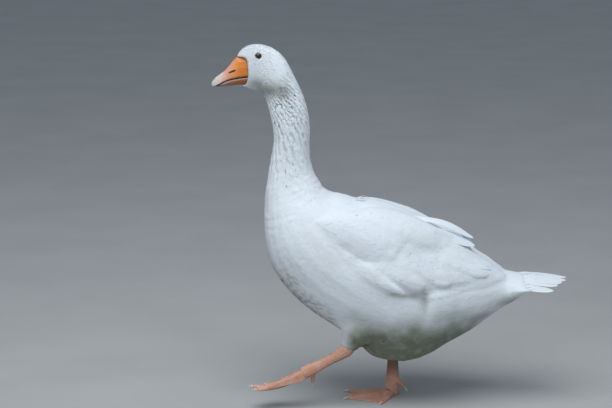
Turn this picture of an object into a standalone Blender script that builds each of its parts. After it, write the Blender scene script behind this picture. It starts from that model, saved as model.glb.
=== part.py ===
"""A white domestic goose in mid-stride, life size, as a still model.

Frame: +Z up, floor at Z = 0. The goose faces -X and its left side is at -Y. It stands on its right foot,
whose toes turn in under the body, and swings its left leg forward. Sizes are in millimetres, turned into
metres as each mesh is made. Head, neck and trunk are one loft of flat rings, parted at three planes.
"""

import math

import bmesh
import bpy
import numpy as np

MM = 0.001
GAP = 0.3  # clearance between pieces that touch
RING_POINTS = 24  # points round each ring of the body
ROUNDNESS = 0.94  # power of the body's section; under 1 it is fuller than an ellipse

# Rings of the body from bill to tail: name, dorsal point (x, z), ventral point (x, z), half width, and
# how much wider the lower half is than the upper.
BODY = (
    ("bill_root", (-323, 733), (-325, 682), 11, 0.00),
    ("brow", (-315, 748), (-305, 676), 14, 0.00),
    ("forehead", (-306, 758), (-291, 670), 18, 0.05),
    ("crown_front", (-293, 764), (-279, 665), 22, 0.10),
    ("crown", (-275, 766), (-269, 660), 25, 0.15),
    ("crown_back", (-255, 762), (-264, 657), 27, 0.15),
    ("occiput", (-236, 752), (-261, 652), 28, 0.12),
    ("nape_top", (-220, 737), (-259, 648), 28, 0.08),
    ("nape", (-206, 711), (-257, 642), 29, 0.04),
    ("throat", (-191, 679), (-255, 634), 31, 0.00),
    ("neck_1", (-180, 650), (-251, 622), 34, 0.00),
    ("neck_2", (-173, 621), (-247, 603), 35, 0.00),
    ("neck_3", (-169, 588), (-243, 580), 35, 0.00),
    ("neck_4", (-169, 557), (-243, 556), 35, 0.00),
    ("neck_5", (-167, 527), (-248, 532), 37, 0.00),
    ("neck_6", (-162, 504), (-253, 504), 41, 0.00),
    ("neck_7", (-151, 482), (-258, 474), 50, 0.02),
    ("neck_root", (-135, 463), (-262, 441), 62, 0.04),
    ("crop", (-114, 452), (-264, 403), 79, 0.06),
    ("breast", (-87, 444), (-263, 357), 94, 0.08),
    ("shoulder", (-58, 439), (-256, 315), 104, 0.08),
    ("keel_1", (-29, 434), (-239, 277), 110, 0.08),
    ("keel_2", (0, 426), (-210, 240), 114, 0.08),
    ("keel_3", (29, 416), (-172, 204), 117, 0.08),
    ("belly_1", (60, 403), (-125, 172), 118, 0.08),
    ("belly_2", (89, 388), (-76, 138), 117, 0.10),
    ("belly_3", (117, 371), (-22, 102), 113, 0.12),
    ("belly_4", (142, 353), (29, 88), 107, 0.12),
    ("vent_1", (166, 336), (78, 102), 99, 0.10),
    ("vent_2", (189, 319), (123, 129), 89, 0.06),
    ("rump_1", (212, 304), (165, 152), 77, 0.02),
    ("rump_2", (230, 292), (207, 183), 64, 0.00),
    ("tail_root", (244, 283), (244, 213), 52, 0.00),
)
STATION = {row[0]: i for i, row in enumerate(BODY)}
# The pieces of the body loft, each from one station to another, with its number of rings.
BODY_PIECES = (
    ("head", "bill_root", "throat", 11),
    ("neck_upper", "throat", "neck_4", 6),
    ("neck_lower", "neck_4", "neck_root", 6),
    ("trunk", "neck_root", "tail_root", 25),
)

# The folded wing over the trunk: station, upper and lower edge as angles from the back line, thickness.
WING = (
    ("breast", 64, 80, 5),
    ("shoulder", 38, 80, 10),
    ("keel_1", 22, 84, 13),
    ("keel_2", 14, 88, 14),
    ("keel_3", 11, 91, 14),
    ("belly_1", 10, 92, 14),
    ("belly_2", 9, 90, 14),
    ("belly_3", 9, 85, 14),
    ("belly_4", 9, 79, 13),
    ("vent_1", 9, 73, 11),
    ("vent_2", 10, 68, 9),
    ("rump_1", 12, 63, 8),
    ("rump_2", 16, 56, 6),
    ("tail_root", 24, 46, 4),
)
WING_EDGE = 1.6  # thickness at the wing's rim
WING_ROWS, WING_COLUMNS = 20, 8
WING_BURIED = 6  # how far the uncut wing reaches into the trunk

# The innermost flight feathers stand off the rump as one blade: x, distance from the midline, z.
TERTIAL_ROOT, TERTIAL_MIDDLE = (50, 46, 392), (116, 38, 376)
TERTIAL_TIP_X, TERTIAL_TIP_Y = 174, 24
TERTIAL_TIP_Z = {"left": 345, "right": 349}
TERTIAL_HALF_WIDTH, TERTIAL_HALF_THICKNESS = 17, 2.2
TERTIAL_RINGS, TERTIAL_SIDES = 9, 8

TAIL_TIP_X = 373
TAIL_FEATHERS = 14
TAIL_HALF_WIDTH = 72
TAIL_TIP_Z = 270
TAIL_EDGE_DROP = 15  # how far the outermost feather lies below the middle ones
TAIL_EDGE_SHORTER = 60
TAIL_NOTCH = 6
TAIL_TIP_THICKNESS = 1.2
TAIL_ROWS = (0, 0.22, 0.45, 0.7, 1)  # rows of points, as shares of the tail's length

# Bill: top point (x, z), bottom point (x, z), half width, from the head to the tip.
BILL_UPPER = (
    ((-286, 738), (-286, 699), 14.0),
    ((-302, 739), (-301, 697), 14.0),
    ((-318, 739), (-316, 694.8), 13.2),
    ((-327, 730), (-330, 692.3), 12.2),
    ((-335.5, 719), (-340.5, 689.3), 11.4),
    ((-344, 709), (-349.5, 684.4), 10.6),
    ((-354, 702), (-357.5, 680), 9.6),
    ((-363, 695.5), (-364.5, 677), 8.2),
    ((-369.5, 688), (-369, 676), 5.8),
    ((-372, 682), (-371.3, 676.8), 2.4),
)
BILL_LOWER = (
    ((-286, 697.5), (-286, 682), 12.6),
    ((-302, 696), (-302, 681), 12.2),
    ((-316, 693.8), (-317, 679.5), 11.4),
    ((-329, 691.3), (-331, 678), 10.4),
    ((-340.6, 688), (-343.6, 676.3), 9.4),
    ((-351.5, 682.2), (-354.5, 675), 8.2),
    ((-360.5, 677.6), (-362.4, 674.1), 5.6),
    ((-365.5, 675.6), (-366, 673.8), 2.6),
)
BILL_POINTS = 16  # points round each ring of the bill
BILL_UPPER_ARCH, BILL_LOWER_ARCH = 0.88, 0.06  # share of the height that rises over the widest line
# Side view (x, z) of the line where feathers give way to bill: over the forehead, down the cheek to the
# corner of the mouth, and forward again under the chin.
FEATHER_LINE = ((-420, 745), (-318, 738.4), (-304, 738.4), (-298.5, 735), (-297, 728), (-296.5, 715),
                (-295, 702), (-297.5, 692), (-299, 684), (-304, 680.5), (-330, 678), (-420, 674))
FEATHER_LINE_MIDDLE = 715
HEAD_SIDE = ((-420, 560), (-180, 560), (-180, 860), (-420, 860))  # goes on round the feathered side
CUTTER_REACH = 40  # how far the cutters between bill and head reach from the midline
# Each nostril is a slanting slot in the side of the upper bill. Its ends: (x, distance from the midline, z).
NOSTRIL = ((-335.5, 10.4, 706.0), (-323.5, 11.7, 711.0))
NOSTRIL_RADII = (0.5, 1.5, 1.7, 1.4, 0.6)
NOSTRIL_REACH = 2.0  # how far it is sunk
NOSTRIL_SIDES = 8

EYE_RADIUS = 8
EYE_ROWS, EYE_COLUMNS = 8, 12
EYE_X, EYE_Z = -274, 742
EYE_Y = 13.4  # distance of the eye's centre from the midline

# Legs: centre (x, distance from the midline, z), half depth along the stride, half width across it.
LEFT_LEG = (
    ((-24, 68, 205), 50, 34),
    ((-58, 74, 182), 44, 30),
    ((-77, 74, 158), 29, 22),
    ((-86, 71, 139), 19, 15.5),
    ((-93, 70, 127), 15.5, 13),
    ((-116, 70, 112), 11.5, 9),
    ((-141, 70, 98), 11, 8.5),
    ((-166, 70, 85), 14, 10.5),
    ((-183, 70, 77), 13, 11.5),
)
RIGHT_LEG = (
    ((-12, 74, 190), 50, 36),
    ((0, 66, 158), 38, 31),
    ((8, 54, 130), 26, 22),
    ((11, 45, 112), 17, 14.5),
    ((12, 42, 99), 14, 12),
    ((11.5, 39, 80), 12, 9.5),
    ((11, 36, 60), 12.5, 9),
    ((11, 34, 38), 15, 11.5),
    ((10, 33, 13.3), 15, 13),
)
THIGH_RINGS, SHANK_RINGS = 7, 9
THIGH_LAST = 3.4  # leg station, counted from 0, where feathers end and the bare shank starts
LEG_POINTS = 12

# The raised left foot is half closed and slopes forward; the planted right foot turns in, spread under the
# body. Toe angles turn from straight ahead towards the midline. TOES: name, length, half width.
LEFT_TOE_ANGLES = [math.radians(a) for a in (-10, 2, 16)]
LEFT_PITCH, LEFT_CURL = math.radians(25), 0.0052
RIGHT_TOE_ANGLES = [math.radians(a) for a in (-9, 21, 70)]
ANKLE = {"left": (-187, -70, 62), "right": (10, 33, 0)}
HUB_HEIGHT = {"left": 20, "right": 13}  # height of the foot where the toes meet
# Each hind toe from the shank to its claw: (x, distance from the midline, z).
HIND_TOE = {"left": ((-160, 64, 78), (-162, 59, 54)), "right": ((14, 28, 42), (37, 21, 18))}
HIND_TOE_RADII = (5.4, 5.2, 4.6, 4.2, 3.2)
HIND_CLAW_RADII = (2.4, 2.0, 1.3, 0.5)
TOES = (("outer", 95, 5.2), ("middle", 103, 5.6), ("inner", 76, 5.0))
TOE_HEIGHT = 10.0
WEB_THICKNESS = 2.2
WEB_DIP = 0.13  # depth of the web's hollow edge between two toes, as a share of the toes' length
HEEL_RADIUS, HEEL_COLUMNS = 15, 7
HUB_RADIUS = 16
FOOT_RINGS = 8
CLAW_LENGTH, CLAW_RADIUS = 11, 2.3
CLAW_SIDES = 6
HIND_CLAW_LENGTH, HIND_CLAW_DROOP = 9, 1.5

MATERIALS = {
    "plumage": ((0.86, 0.88, 0.90), 0.85),
    "bill_horn": ((0.85, 0.36, 0.10), 0.45),
    "leg_skin": ((0.72, 0.36, 0.20), 0.60),
    "claw_horn": ((0.80, 0.72, 0.62), 0.50),
    "eye": ((0.02, 0.03, 0.06), 0.08),
}


def material(name):
    """The Principled material of that name, made once."""
    if name in bpy.data.materials:
        return bpy.data.materials[name]
    colour, roughness = MATERIALS[name]
    made = bpy.data.materials.new(name)
    made.use_nodes = True
    shader = made.node_tree.nodes["Principled BSDF"]
    shader.inputs["Base Color"].default_value = (*colour, 1)
    shader.inputs["Roughness"].default_value = roughness
    shader.inputs["Metallic"].default_value = 0
    return made


def add(name, points, faces, slot, cutter=False):
    """A closed mesh object whose origin is the middle of its box; points are in millimetres."""
    points = np.asarray(points, float) * MM
    centre = (points.min(0) + points.max(0)) / 2
    mesh = bpy.data.meshes.new(name)
    mesh.from_pydata([tuple(p) for p in points - centre], [], faces)
    shape = bmesh.new()
    shape.from_mesh(mesh)
    bmesh.ops.recalc_face_normals(shape, faces=shape.faces)
    shape.to_mesh(mesh)
    shape.free()
    mesh.shade_smooth()
    mesh.materials.append(material(slot))
    made = bpy.data.objects.new(name, mesh)
    bpy.context.scene.collection.objects.link(made)
    made.location = centre
    made.parent = goose
    if cutter:
        made.hide_render = True
        made.display_type = "WIRE"
    return made


def boolean(target, other, operation):
    """Adds an exact Boolean of that kind to the target."""
    modifier = target.modifiers.new(f"{operation.lower()}_{other.name}", "BOOLEAN")
    modifier.operation = operation
    modifier.solver = "EXACT"
    modifier.object = other


def smooth(rows, t):
    """The value at t, in rows from 0, of a Catmull-Rom curve through rows of numbers."""
    rows = np.asarray(rows, float)
    last = len(rows) - 1
    i = min(int(math.floor(t)), last - 1)
    u = t - i
    before = rows[i - 1] if i > 0 else 2 * rows[0] - rows[1]
    after = rows[i + 2] if i + 2 <= last else 2 * rows[last] - rows[last - 1]
    a, b = rows[i], rows[i + 1]
    bend = 2 * before - 5 * a + 4 * b - after
    twist = 3 * (a - b) + after - before
    return a + 0.5 * u * (b - before + u * (bend + u * twist))


def loft(rings):
    """Points and faces of rings of equal length joined in order, with flat ends. Every four-cornered facet is
    split the same way, mirrored between the halves, so that a piece and a grown copy of it stay parallel."""
    count = len(rings[0])
    points = np.concatenate(rings)
    faces = [tuple(range(count)), tuple(range(len(points) - count, len(points)))]
    for row in range(len(rings) - 1):
        for i in range(count):
            a, b = row * count + i, row * count + (i + 1) % count
            c, d = b + count, a + count
            faces += [(a, b, c), (a, c, d)] if i < count / 2 else [(a, b, d), (b, c, d)]
    return points, faces


def shell(outer, inner):
    """Points and faces of the solid between two grids of points of equal shape."""
    rows, columns = outer.shape[:2]
    points = np.concatenate([outer.reshape(-1, 3), inner.reshape(-1, 3)])
    under = rows * columns
    faces = []
    for r in range(rows - 1):
        for c in range(columns - 1):
            quad = (r * columns + c, r * columns + c + 1, (r + 1) * columns + c + 1, (r + 1) * columns + c)
            faces.append(quad)
            faces.append(tuple(under + i for i in reversed(quad)))
    rim = [c for c in range(columns)]
    rim += [r * columns + columns - 1 for r in range(1, rows)]
    rim += [(rows - 1) * columns + c for c in range(columns - 2, -1, -1)]
    rim += [r * columns for r in range(rows - 2, 0, -1)]
    for a, b in zip(rim, rim[1:] + rim[:1]):
        faces.append((a, under + a, under + b, b))
    return points, faces


BODY_ROWS = [(*dorsal, *ventral, half, low) for _, dorsal, ventral, half, low in BODY]


def body_point(t, angle, grow=0.0):
    """A point of the body's surface at loft position t, at an angle from the back line round to its left."""
    dx, dz, vx, vz, half, low = smooth(BODY_ROWS, t)
    centre = np.array([(dx + vx) / 2, 0, (dz + vz) / 2])
    up = np.array([dx - vx, 0, dz - vz]) / 2
    height = np.linalg.norm(up)
    rise = math.copysign(abs(math.cos(angle)) ** ROUNDNESS, math.cos(angle))
    side = math.copysign(abs(math.sin(angle)) ** ROUNDNESS, math.sin(angle))
    across = (half + grow) * side * (1 - low * rise)
    return centre + up * (1 + grow / height) * rise + np.array([0, -across, 0])


def body_ring(t, grow=0.0, shift=0.0):
    """One ring of the body, moved along the body by shift."""
    ring = np.array([body_point(t, 2 * math.pi * i / RING_POINTS, grow) for i in range(RING_POINTS)])
    dx, dz, vx, vz, _, _ = smooth(BODY_ROWS, t)
    along = np.array([dz - vz, 0, vx - dx]) / math.hypot(dx - vx, dz - vz)
    return ring + along * shift


def body_pieces():
    """Head, neck and trunk, each parted from the next by a thin gap."""
    made = {}
    for name, first, last, count in BODY_PIECES:
        positions = np.linspace(STATION[first], STATION[last], count)
        shifts = [0.0] * count
        shifts[0] = GAP / 2 if STATION[first] > 0 else 0.0
        shifts[-1] = -GAP / 2
        made[name] = add(name, *loft([body_ring(t, 0, s) for t, s in zip(positions, shifts)]), "plumage")
    positions = np.linspace(STATION["neck_root"], STATION["tail_root"], BODY_PIECES[-1][3])
    grown = [body_ring(t, GAP) for t in positions]
    made["cutter"] = add("trunk_cutter", *loft(grown), "plumage", cutter=True)
    return made


def wing(side, trunk_cutter):
    """A folded wing that lies on the trunk, with its innermost flight feathers as a raised blade."""
    sign = 1 if side == "left" else -1
    rows = [(STATION[name], *numbers) for name, *numbers in WING]
    outer, inner = [], []
    for t in np.linspace(0, len(rows) - 1, WING_ROWS):
        place, upper, lower, thickness = smooth(rows, t)
        place = min(place, STATION["tail_root"])
        outer_row, inner_row = [], []
        for v in np.linspace(0, 1, WING_COLUMNS):
            angle = sign * math.radians(upper + v * (lower - upper))
            thick = WING_EDGE + (thickness - WING_EDGE) * math.sin(math.pi * v) ** 0.6
            outer_row.append(body_point(place, angle, thick))
            inner_row.append(body_point(place, angle, -WING_BURIED))
        outer.append(outer_row)
        inner.append(inner_row)
    made = add(f"wing_{side}", *shell(np.array(outer), np.array(inner)), "plumage")
    tip = (TERTIAL_TIP_X, TERTIAL_TIP_Y, TERTIAL_TIP_Z[side])
    path = [(x, -sign * y, z) for x, y, z in (TERTIAL_ROOT, TERTIAL_MIDDLE, tip)]
    rings = []
    angles = [2 * math.pi * i / TERTIAL_SIDES for i in range(TERTIAL_SIDES)]
    for u in np.linspace(0, 1, TERTIAL_RINGS):
        centre = smooth(path, 2 * u)
        narrow = max(0.12, math.sin(math.pi * (1 - u) ** 0.6 / 2)) if u > 0.5 else 1.0
        wide, thick = TERTIAL_HALF_WIDTH * narrow, TERTIAL_HALF_THICKNESS * (1.3 - 0.7 * u)
        rings.append([centre + (0, wide * math.cos(a), thick * math.sin(a)) for a in angles])
    blade = add(f"tertials_{side}", *loft(np.array(rings)), "plumage", cutter=True)
    boolean(made, blade, "UNION")
    boolean(made, trunk_cutter, "DIFFERENCE")


def tail():
    """A closed fan, highest in the middle, whose end is notched between feathers."""
    dx, top, _, bottom, half, _ = BODY_ROWS[STATION["tail_root"]]
    start, middle, height = dx + GAP, (top + bottom) / 2, (top - bottom) / 2
    columns = np.linspace(-1, 1, 2 * TAIL_FEATHERS + 1)
    upper, lower = [], []
    for k in columns:
        notch = TAIL_NOTCH * abs(math.cos(math.pi * TAIL_FEATHERS * (k + 1) / 2))
        end = TAIL_TIP_X - TAIL_EDGE_SHORTER * abs(k) ** 2.2 - notch
        round_end = math.sqrt(max(0.0, 1 - k * k))
        upper_row, lower_row = [], []
        for u in TAIL_ROWS:
            x = start + u * (end - start)
            y = k * (half + (TAIL_HALF_WIDTH - half) * u)
            settled = 1 - (1 - u) ** 2
            z = middle + settled * (TAIL_TIP_Z - TAIL_EDGE_DROP * k * k - middle)
            thick_up = max(TAIL_TIP_THICKNESS / 2, height * round_end * (1 - u) ** 2.2)
            thick_down = max(TAIL_TIP_THICKNESS / 2, height * round_end * (1 - u) ** 1.2)
            upper_row.append((x, y, z + thick_up))
            lower_row.append((x, y, z - thick_down))
        upper.append(upper_row)
        lower.append(lower_row)
    add("tail", *shell(np.array(upper), np.array(lower)), "plumage")


def feather_block(bill_side, name):
    """A block on one side of the line between bill and feathers, grown past the line by half a gap."""
    shift = GAP / 2 if bill_side else -GAP / 2
    outline = [(x + shift, z + math.copysign(1, z - FEATHER_LINE_MIDDLE) * shift) for x, z in FEATHER_LINE]
    if not bill_side:
        outline += HEAD_SIDE
    rings = [[(x, y, z) for x, z in outline] for y in (-CUTTER_REACH, CUTTER_REACH)]
    return add(name, *loft(np.array(rings)), "plumage", cutter=True)


def bill_ring(top, bottom, half, arch):
    """A ring of the bill: arch is the share of its height that rises over the widest line."""
    top, bottom = np.array([top[0], 0, top[1]]), np.array([bottom[0], 0, bottom[1]])
    edge = bottom + (top - bottom) * (1 - arch)
    ring = []
    for i in range(BILL_POINTS):
        a = 2 * math.pi * i / BILL_POINTS
        reach = (top if math.cos(a) > 0 else bottom) - edge
        ring.append(edge + reach * abs(math.cos(a)) ** 0.9 + np.array([0, half * math.sin(a), 0]))
    return ring


def nostril(side):
    """The cutter of one nostril: a spindle half sunk in the side of the bill."""
    sign = -1 if side == "left" else 1
    start, end = (np.array([x, sign * y, z]) for x, y, z in NOSTRIL)
    along = (end - start) / np.linalg.norm(end - start)
    across = np.cross(along, (0, 1, 0))
    rings = []
    for u, radius in zip(np.linspace(0, 1, len(NOSTRIL_RADII)), NOSTRIL_RADII):
        centre = start + u * (end - start)
        reach = NOSTRIL_REACH * radius / max(NOSTRIL_RADII)
        angles = [2 * math.pi * i / NOSTRIL_SIDES for i in range(NOSTRIL_SIDES)]
        rings.append([centre + across * radius * math.cos(a) + (0, reach * math.sin(a), 0) for a in angles])
    return add(f"nostril_{side}", *loft(np.array(rings)), "bill_horn", cutter=True)


def bill(behind):
    """Upper and lower mandible, cut off where the feathers start."""
    mandibles = (("bill_upper", BILL_UPPER, BILL_UPPER_ARCH), ("bill_lower", BILL_LOWER, BILL_LOWER_ARCH))
    made = {}
    for name, rows, arch in mandibles:
        rings = [bill_ring(top, bottom, half, arch) for top, bottom, half in rows]
        made[name] = add(name, *loft(np.array(rings)), "bill_horn")
        boolean(made[name], behind, "DIFFERENCE")
    for side in ("left", "right"):
        boolean(made["bill_upper"], nostril(side), "DIFFERENCE")


def ball(name, centre, radius, cutter=False):
    """An eye-coloured sphere whose poles face sideways."""
    rings = []
    angles = [2 * math.pi * i / EYE_COLUMNS for i in range(EYE_COLUMNS)]
    for row in range(1, EYE_ROWS):
        latitude = math.pi * row / EYE_ROWS
        r, y = radius * math.sin(latitude), radius * math.cos(latitude)
        rings.append([(r * math.cos(a), y, r * math.sin(a)) for a in angles])
    return add(name, *loft(np.array(rings) + centre), "eye", cutter)


def eyes(head):
    """Both eyeballs, each in a socket in the head."""
    for side, sign in (("left", -1), ("right", 1)):
        centre = (EYE_X, sign * EYE_Y, EYE_Z)
        ball(f"eye_{side}", centre, EYE_RADIUS)
        boolean(head, ball(f"socket_{side}", centre, EYE_RADIUS + GAP, cutter=True), "DIFFERENCE")


def leg_ring(rows, t, sign, grow=0.0, shift=0.0):
    """A ring of a leg, square to its path; sign is -1 on the left."""
    flat = [(x, sign * y, z, deep, wide) for (x, y, z), deep, wide in rows]
    here = smooth(flat, t)
    ahead, back = smooth(flat, min(t + 0.1, len(rows) - 1)), smooth(flat, max(t - 0.1, 0))
    along = (ahead - back)[:3] / np.linalg.norm((ahead - back)[:3])
    across = np.array([0, 1.0, 0]) - along * along[1]
    across /= np.linalg.norm(across)
    depth = np.cross(across, along)
    angles = [2 * math.pi * i / LEG_POINTS for i in range(LEG_POINTS)]
    deep, wide = here[3] + grow, here[4] + grow
    return [here[:3] + along * shift + depth * deep * math.cos(a) + across * wide * math.sin(a) for a in angles]


def leg(side, rows, trunk_cutter):
    """A feathered thigh, cut back to the trunk, and the bare shank below it."""
    sign = -1 if side == "left" else 1
    last = len(rows) - 1
    thigh = [leg_ring(rows, t, sign) for t in np.linspace(0, THIGH_LAST, THIGH_RINGS)]
    thigh[-1] = leg_ring(rows, THIGH_LAST, sign, 0, -GAP / 2)
    boolean(add(f"thigh_{side}", *loft(np.array(thigh)), "plumage"), trunk_cutter, "DIFFERENCE")
    positions = np.linspace(THIGH_LAST, last, SHANK_RINGS)
    shank = [leg_ring(rows, t, sign, 0, GAP / 2 if t == THIGH_LAST else 0) for t in positions]
    boolean(add(f"shank_{side}", *loft(np.array(shank)), "leg_skin"), trunk_cutter, "DIFFERENCE")
    cutter = [leg_ring(rows, t, sign, GAP, GAP if t == last else 0) for t in positions]
    return add(f"shank_cutter_{side}", *loft(np.array(cutter)), "leg_skin", cutter=True)


def foot_columns(angles):
    """Directions of the foot's columns, closer together on the toes, and each one's reach."""
    columns = []
    for i, (_, length, half) in enumerate(TOES):
        spread = math.atan2(half, length)
        columns += [(angles[i] + k * spread, length - 2.0 * abs(k) ** 2) for k in (-1, -0.5, 0, 0.5, 1)]
        if i + 1 == len(TOES):
            continue
        start, end = angles[i] + spread, angles[i + 1] - math.atan2(TOES[i + 1][2], TOES[i + 1][1])
        for s in (0.04, 0.27, 0.5, 0.73, 0.96):
            straight = length + s * (TOES[i + 1][1] - length)
            dip = WEB_DIP * straight * (0.45 + 0.55 * math.sin(math.pi * s) ** 0.8)
            columns.append((start + s * (end - start), straight - dip))
    first, last = columns[0][0], columns[-1][0] - 2 * math.pi
    for s in np.linspace(0, 1, HEEL_COLUMNS + 2)[1:-1]:
        columns.append((last + s * (first - last), HEEL_RADIUS))
    return sorted((angle % (2 * math.pi), reach) for angle, reach in columns)


def foot_height(x, y, angles, hub_height):
    """Height of the foot's upper side over a point of its plan."""
    height = WEB_THICKNESS
    for (_, length, half), angle in zip(TOES, angles):
        along = x * math.cos(angle) + y * math.sin(angle)
        aside = abs(-x * math.sin(angle) + y * math.cos(angle)) / (half * (1.25 - 0.35 * along / length))
        if along < 0 or aside >= 1.0:
            continue
        joints = 1 + 0.14 * math.cos(2 * math.pi * 3 * along / length)
        height = max(height, WEB_THICKNESS + (TOE_HEIGHT - 3.2 * along / length - WEB_THICKNESS) * joints
                     * math.sqrt(1 - aside ** 2))
    near = math.hypot(x, y) / HUB_RADIUS
    return max(height, hub_height * math.sqrt(max(0.0, 1 - (near * 0.8) ** 4)) if near < 1.25 else 0)


def foot(side, angles, pitch, curl, shank_cutter):
    """A webbed foot and its claws. Pitch tips the toes down, and curl bends them up along their length."""
    inward = 1 if side == "left" else -1
    ankle = np.array(ANKLE[side], float)

    def place(x, y, z):
        """From the foot's own plan, x ahead, y inward and z up, to the goose."""
        turn = curl * max(x, 0)
        ahead = math.sin(turn) / curl if curl and x > 0 else x
        lift = (1 - math.cos(turn)) / curl if curl and x > 0 else 0
        ahead, up = ahead - z * math.sin(turn), lift + z * math.cos(turn)
        flat = ahead * math.cos(pitch) + up * math.sin(pitch)
        rise = -ahead * math.sin(pitch) + up * math.cos(pitch)
        return ankle + np.array([-flat, inward * y, rise])

    upper, lower = [], []
    for angle, reach in foot_columns(angles):
        upper_row, lower_row = [], []
        for ring in range(FOOT_RINGS + 1):
            share = 0.02 + 0.98 * (ring / FOOT_RINGS) ** 0.8
            x, y = reach * share * math.cos(angle), reach * share * math.sin(angle)
            upper_row.append(place(x, y, foot_height(x, y, angles, HUB_HEIGHT[side])))
            lower_row.append(place(x, y, 0))
        upper.append(upper_row)
        lower.append(lower_row)
    upper, lower = np.array(upper), np.array(lower)
    rings = [upper[:, k] for k in range(FOOT_RINGS + 1)] + [lower[:, k] for k in range(FOOT_RINGS, -1, -1)]
    boolean(add(f"foot_{side}", *loft(rings), "leg_skin"), shank_cutter, "DIFFERENCE")

    for (name, length, _), angle in zip(TOES, angles):
        rings = []
        for u in (0, 0.35, 0.7, 1):
            radius = CLAW_RADIUS * (1 - u) ** 0.7 + 0.35
            along = length + GAP + u * CLAW_LENGTH
            height = 3.0 - 2.6 * u ** 2 + 0.6 * math.sin(math.pi * u)
            ring = []
            for i in range(CLAW_SIDES):
                a = 2 * math.pi * i / CLAW_SIDES
                side_step, up = radius * math.cos(a), max(0.0, height + radius * math.sin(a))
                x = along * math.cos(angle) - side_step * math.sin(angle)
                y = along * math.sin(angle) + side_step * math.cos(angle)
                ring.append(place(x, y, up))
            rings.append(ring)
        add(f"claw_{side}_{name}", *loft(np.array(rings)), "claw_horn")


def hind_toe(side, shank_cutter):
    """The small raised hind toe and its claw, from inside the shank outwards."""
    sign = -1 if side == "left" else 1
    root, end = (np.array([x, sign * y, z], float) for x, y, z in HIND_TOE[side])
    along = (end - root) / np.linalg.norm(end - root)
    across = np.cross(along, (0, 1, 0))
    across /= np.linalg.norm(across)
    other = np.cross(along, across)

    def rings(start, stop, radii):
        places = np.linspace(start, stop, len(radii))
        angles = [2 * math.pi * i / CLAW_SIDES for i in range(CLAW_SIDES)]
        return np.array([[p + across * r * math.cos(a) + other * r * math.sin(a) for a in angles]
                         for p, r in zip(places, radii)])

    toe = add(f"hind_toe_{side}", *loft(rings(root, end, HIND_TOE_RADII)), "leg_skin")
    boolean(toe, shank_cutter, "DIFFERENCE")
    tip = end + along * HIND_CLAW_LENGTH - (0, 0, HIND_CLAW_DROOP)
    add(f"claw_{side}_hind", *loft(rings(end + along * GAP, tip, HIND_CLAW_RADII)), "claw_horn")


def centre_on_floor():
    """Moves the whole goose so that the middle of its box is over the origin and its sole is at Z = 0."""
    bpy.context.view_layer.update()
    corners = [o.matrix_world @ v.co for o in bpy.data.objects
               if o.type == "MESH" and not o.hide_render for v in o.data.vertices]
    corners = np.array(corners)
    low, high = corners.min(0), corners.max(0)
    goose.location = (-(low[0] + high[0]) / 2, -(low[1] + high[1]) / 2, -low[2])


def build():
    body = body_pieces()
    boolean(body["head"], feather_block(True, "bill_side"), "DIFFERENCE")
    bill(feather_block(False, "head_side"))
    eyes(body["head"])
    for side in ("left", "right"):
        wing(side, body["cutter"])
    tail()
    left_cutter = leg("left", LEFT_LEG, body["cutter"])
    right_cutter = leg("right", RIGHT_LEG, body["cutter"])
    foot("left", LEFT_TOE_ANGLES, LEFT_PITCH, LEFT_CURL, left_cutter)
    foot("right", RIGHT_TOE_ANGLES, 0, 0, right_cutter)
    hind_toe("left", left_cutter)
    hind_toe("right", right_cutter)
    centre_on_floor()


for old in list(bpy.data.objects):
    bpy.data.objects.remove(old)
goose = bpy.data.objects.new("goose", None)
bpy.context.scene.collection.objects.link(goose)
build()
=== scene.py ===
"""The looks of a still, life-size domestic goose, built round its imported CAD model.

The CAD solids give the outline. Their nodes of flesh give way to one skin, which lies inside
them by the depth of the plumage, and thin solid vanes laid over it make the plumage.
Lengths are in metres. The bird faces -X, its left side is -Y, and the floor is at the lowest
point of its feet.
"""

import math
from itertools import product
from typing import NamedTuple

import bpy
import numpy as np
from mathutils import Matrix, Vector
from mathutils.bvhtree import BVHTree
from mathutils.kdtree import KDTree


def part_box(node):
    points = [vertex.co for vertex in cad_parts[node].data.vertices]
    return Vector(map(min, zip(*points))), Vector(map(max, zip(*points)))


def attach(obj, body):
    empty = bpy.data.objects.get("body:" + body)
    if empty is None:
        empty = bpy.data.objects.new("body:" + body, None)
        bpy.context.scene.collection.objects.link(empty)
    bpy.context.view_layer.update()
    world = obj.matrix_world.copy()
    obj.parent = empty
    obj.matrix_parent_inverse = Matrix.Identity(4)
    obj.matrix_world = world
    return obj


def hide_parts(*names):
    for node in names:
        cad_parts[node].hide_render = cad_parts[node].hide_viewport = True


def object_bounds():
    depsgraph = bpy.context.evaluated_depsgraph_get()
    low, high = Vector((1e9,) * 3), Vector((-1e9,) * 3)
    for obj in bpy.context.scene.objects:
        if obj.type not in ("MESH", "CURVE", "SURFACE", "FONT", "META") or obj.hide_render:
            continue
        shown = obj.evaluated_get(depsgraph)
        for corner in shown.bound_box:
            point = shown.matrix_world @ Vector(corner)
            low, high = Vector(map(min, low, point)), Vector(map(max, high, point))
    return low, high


MM = 0.001
random = np.random.default_rng(11)

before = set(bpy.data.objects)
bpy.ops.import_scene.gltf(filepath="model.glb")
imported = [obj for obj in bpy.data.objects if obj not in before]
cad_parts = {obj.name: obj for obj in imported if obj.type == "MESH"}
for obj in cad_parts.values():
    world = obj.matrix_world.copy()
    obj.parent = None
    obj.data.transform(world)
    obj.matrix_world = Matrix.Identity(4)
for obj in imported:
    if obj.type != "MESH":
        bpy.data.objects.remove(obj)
CAD_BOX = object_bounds()

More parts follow.
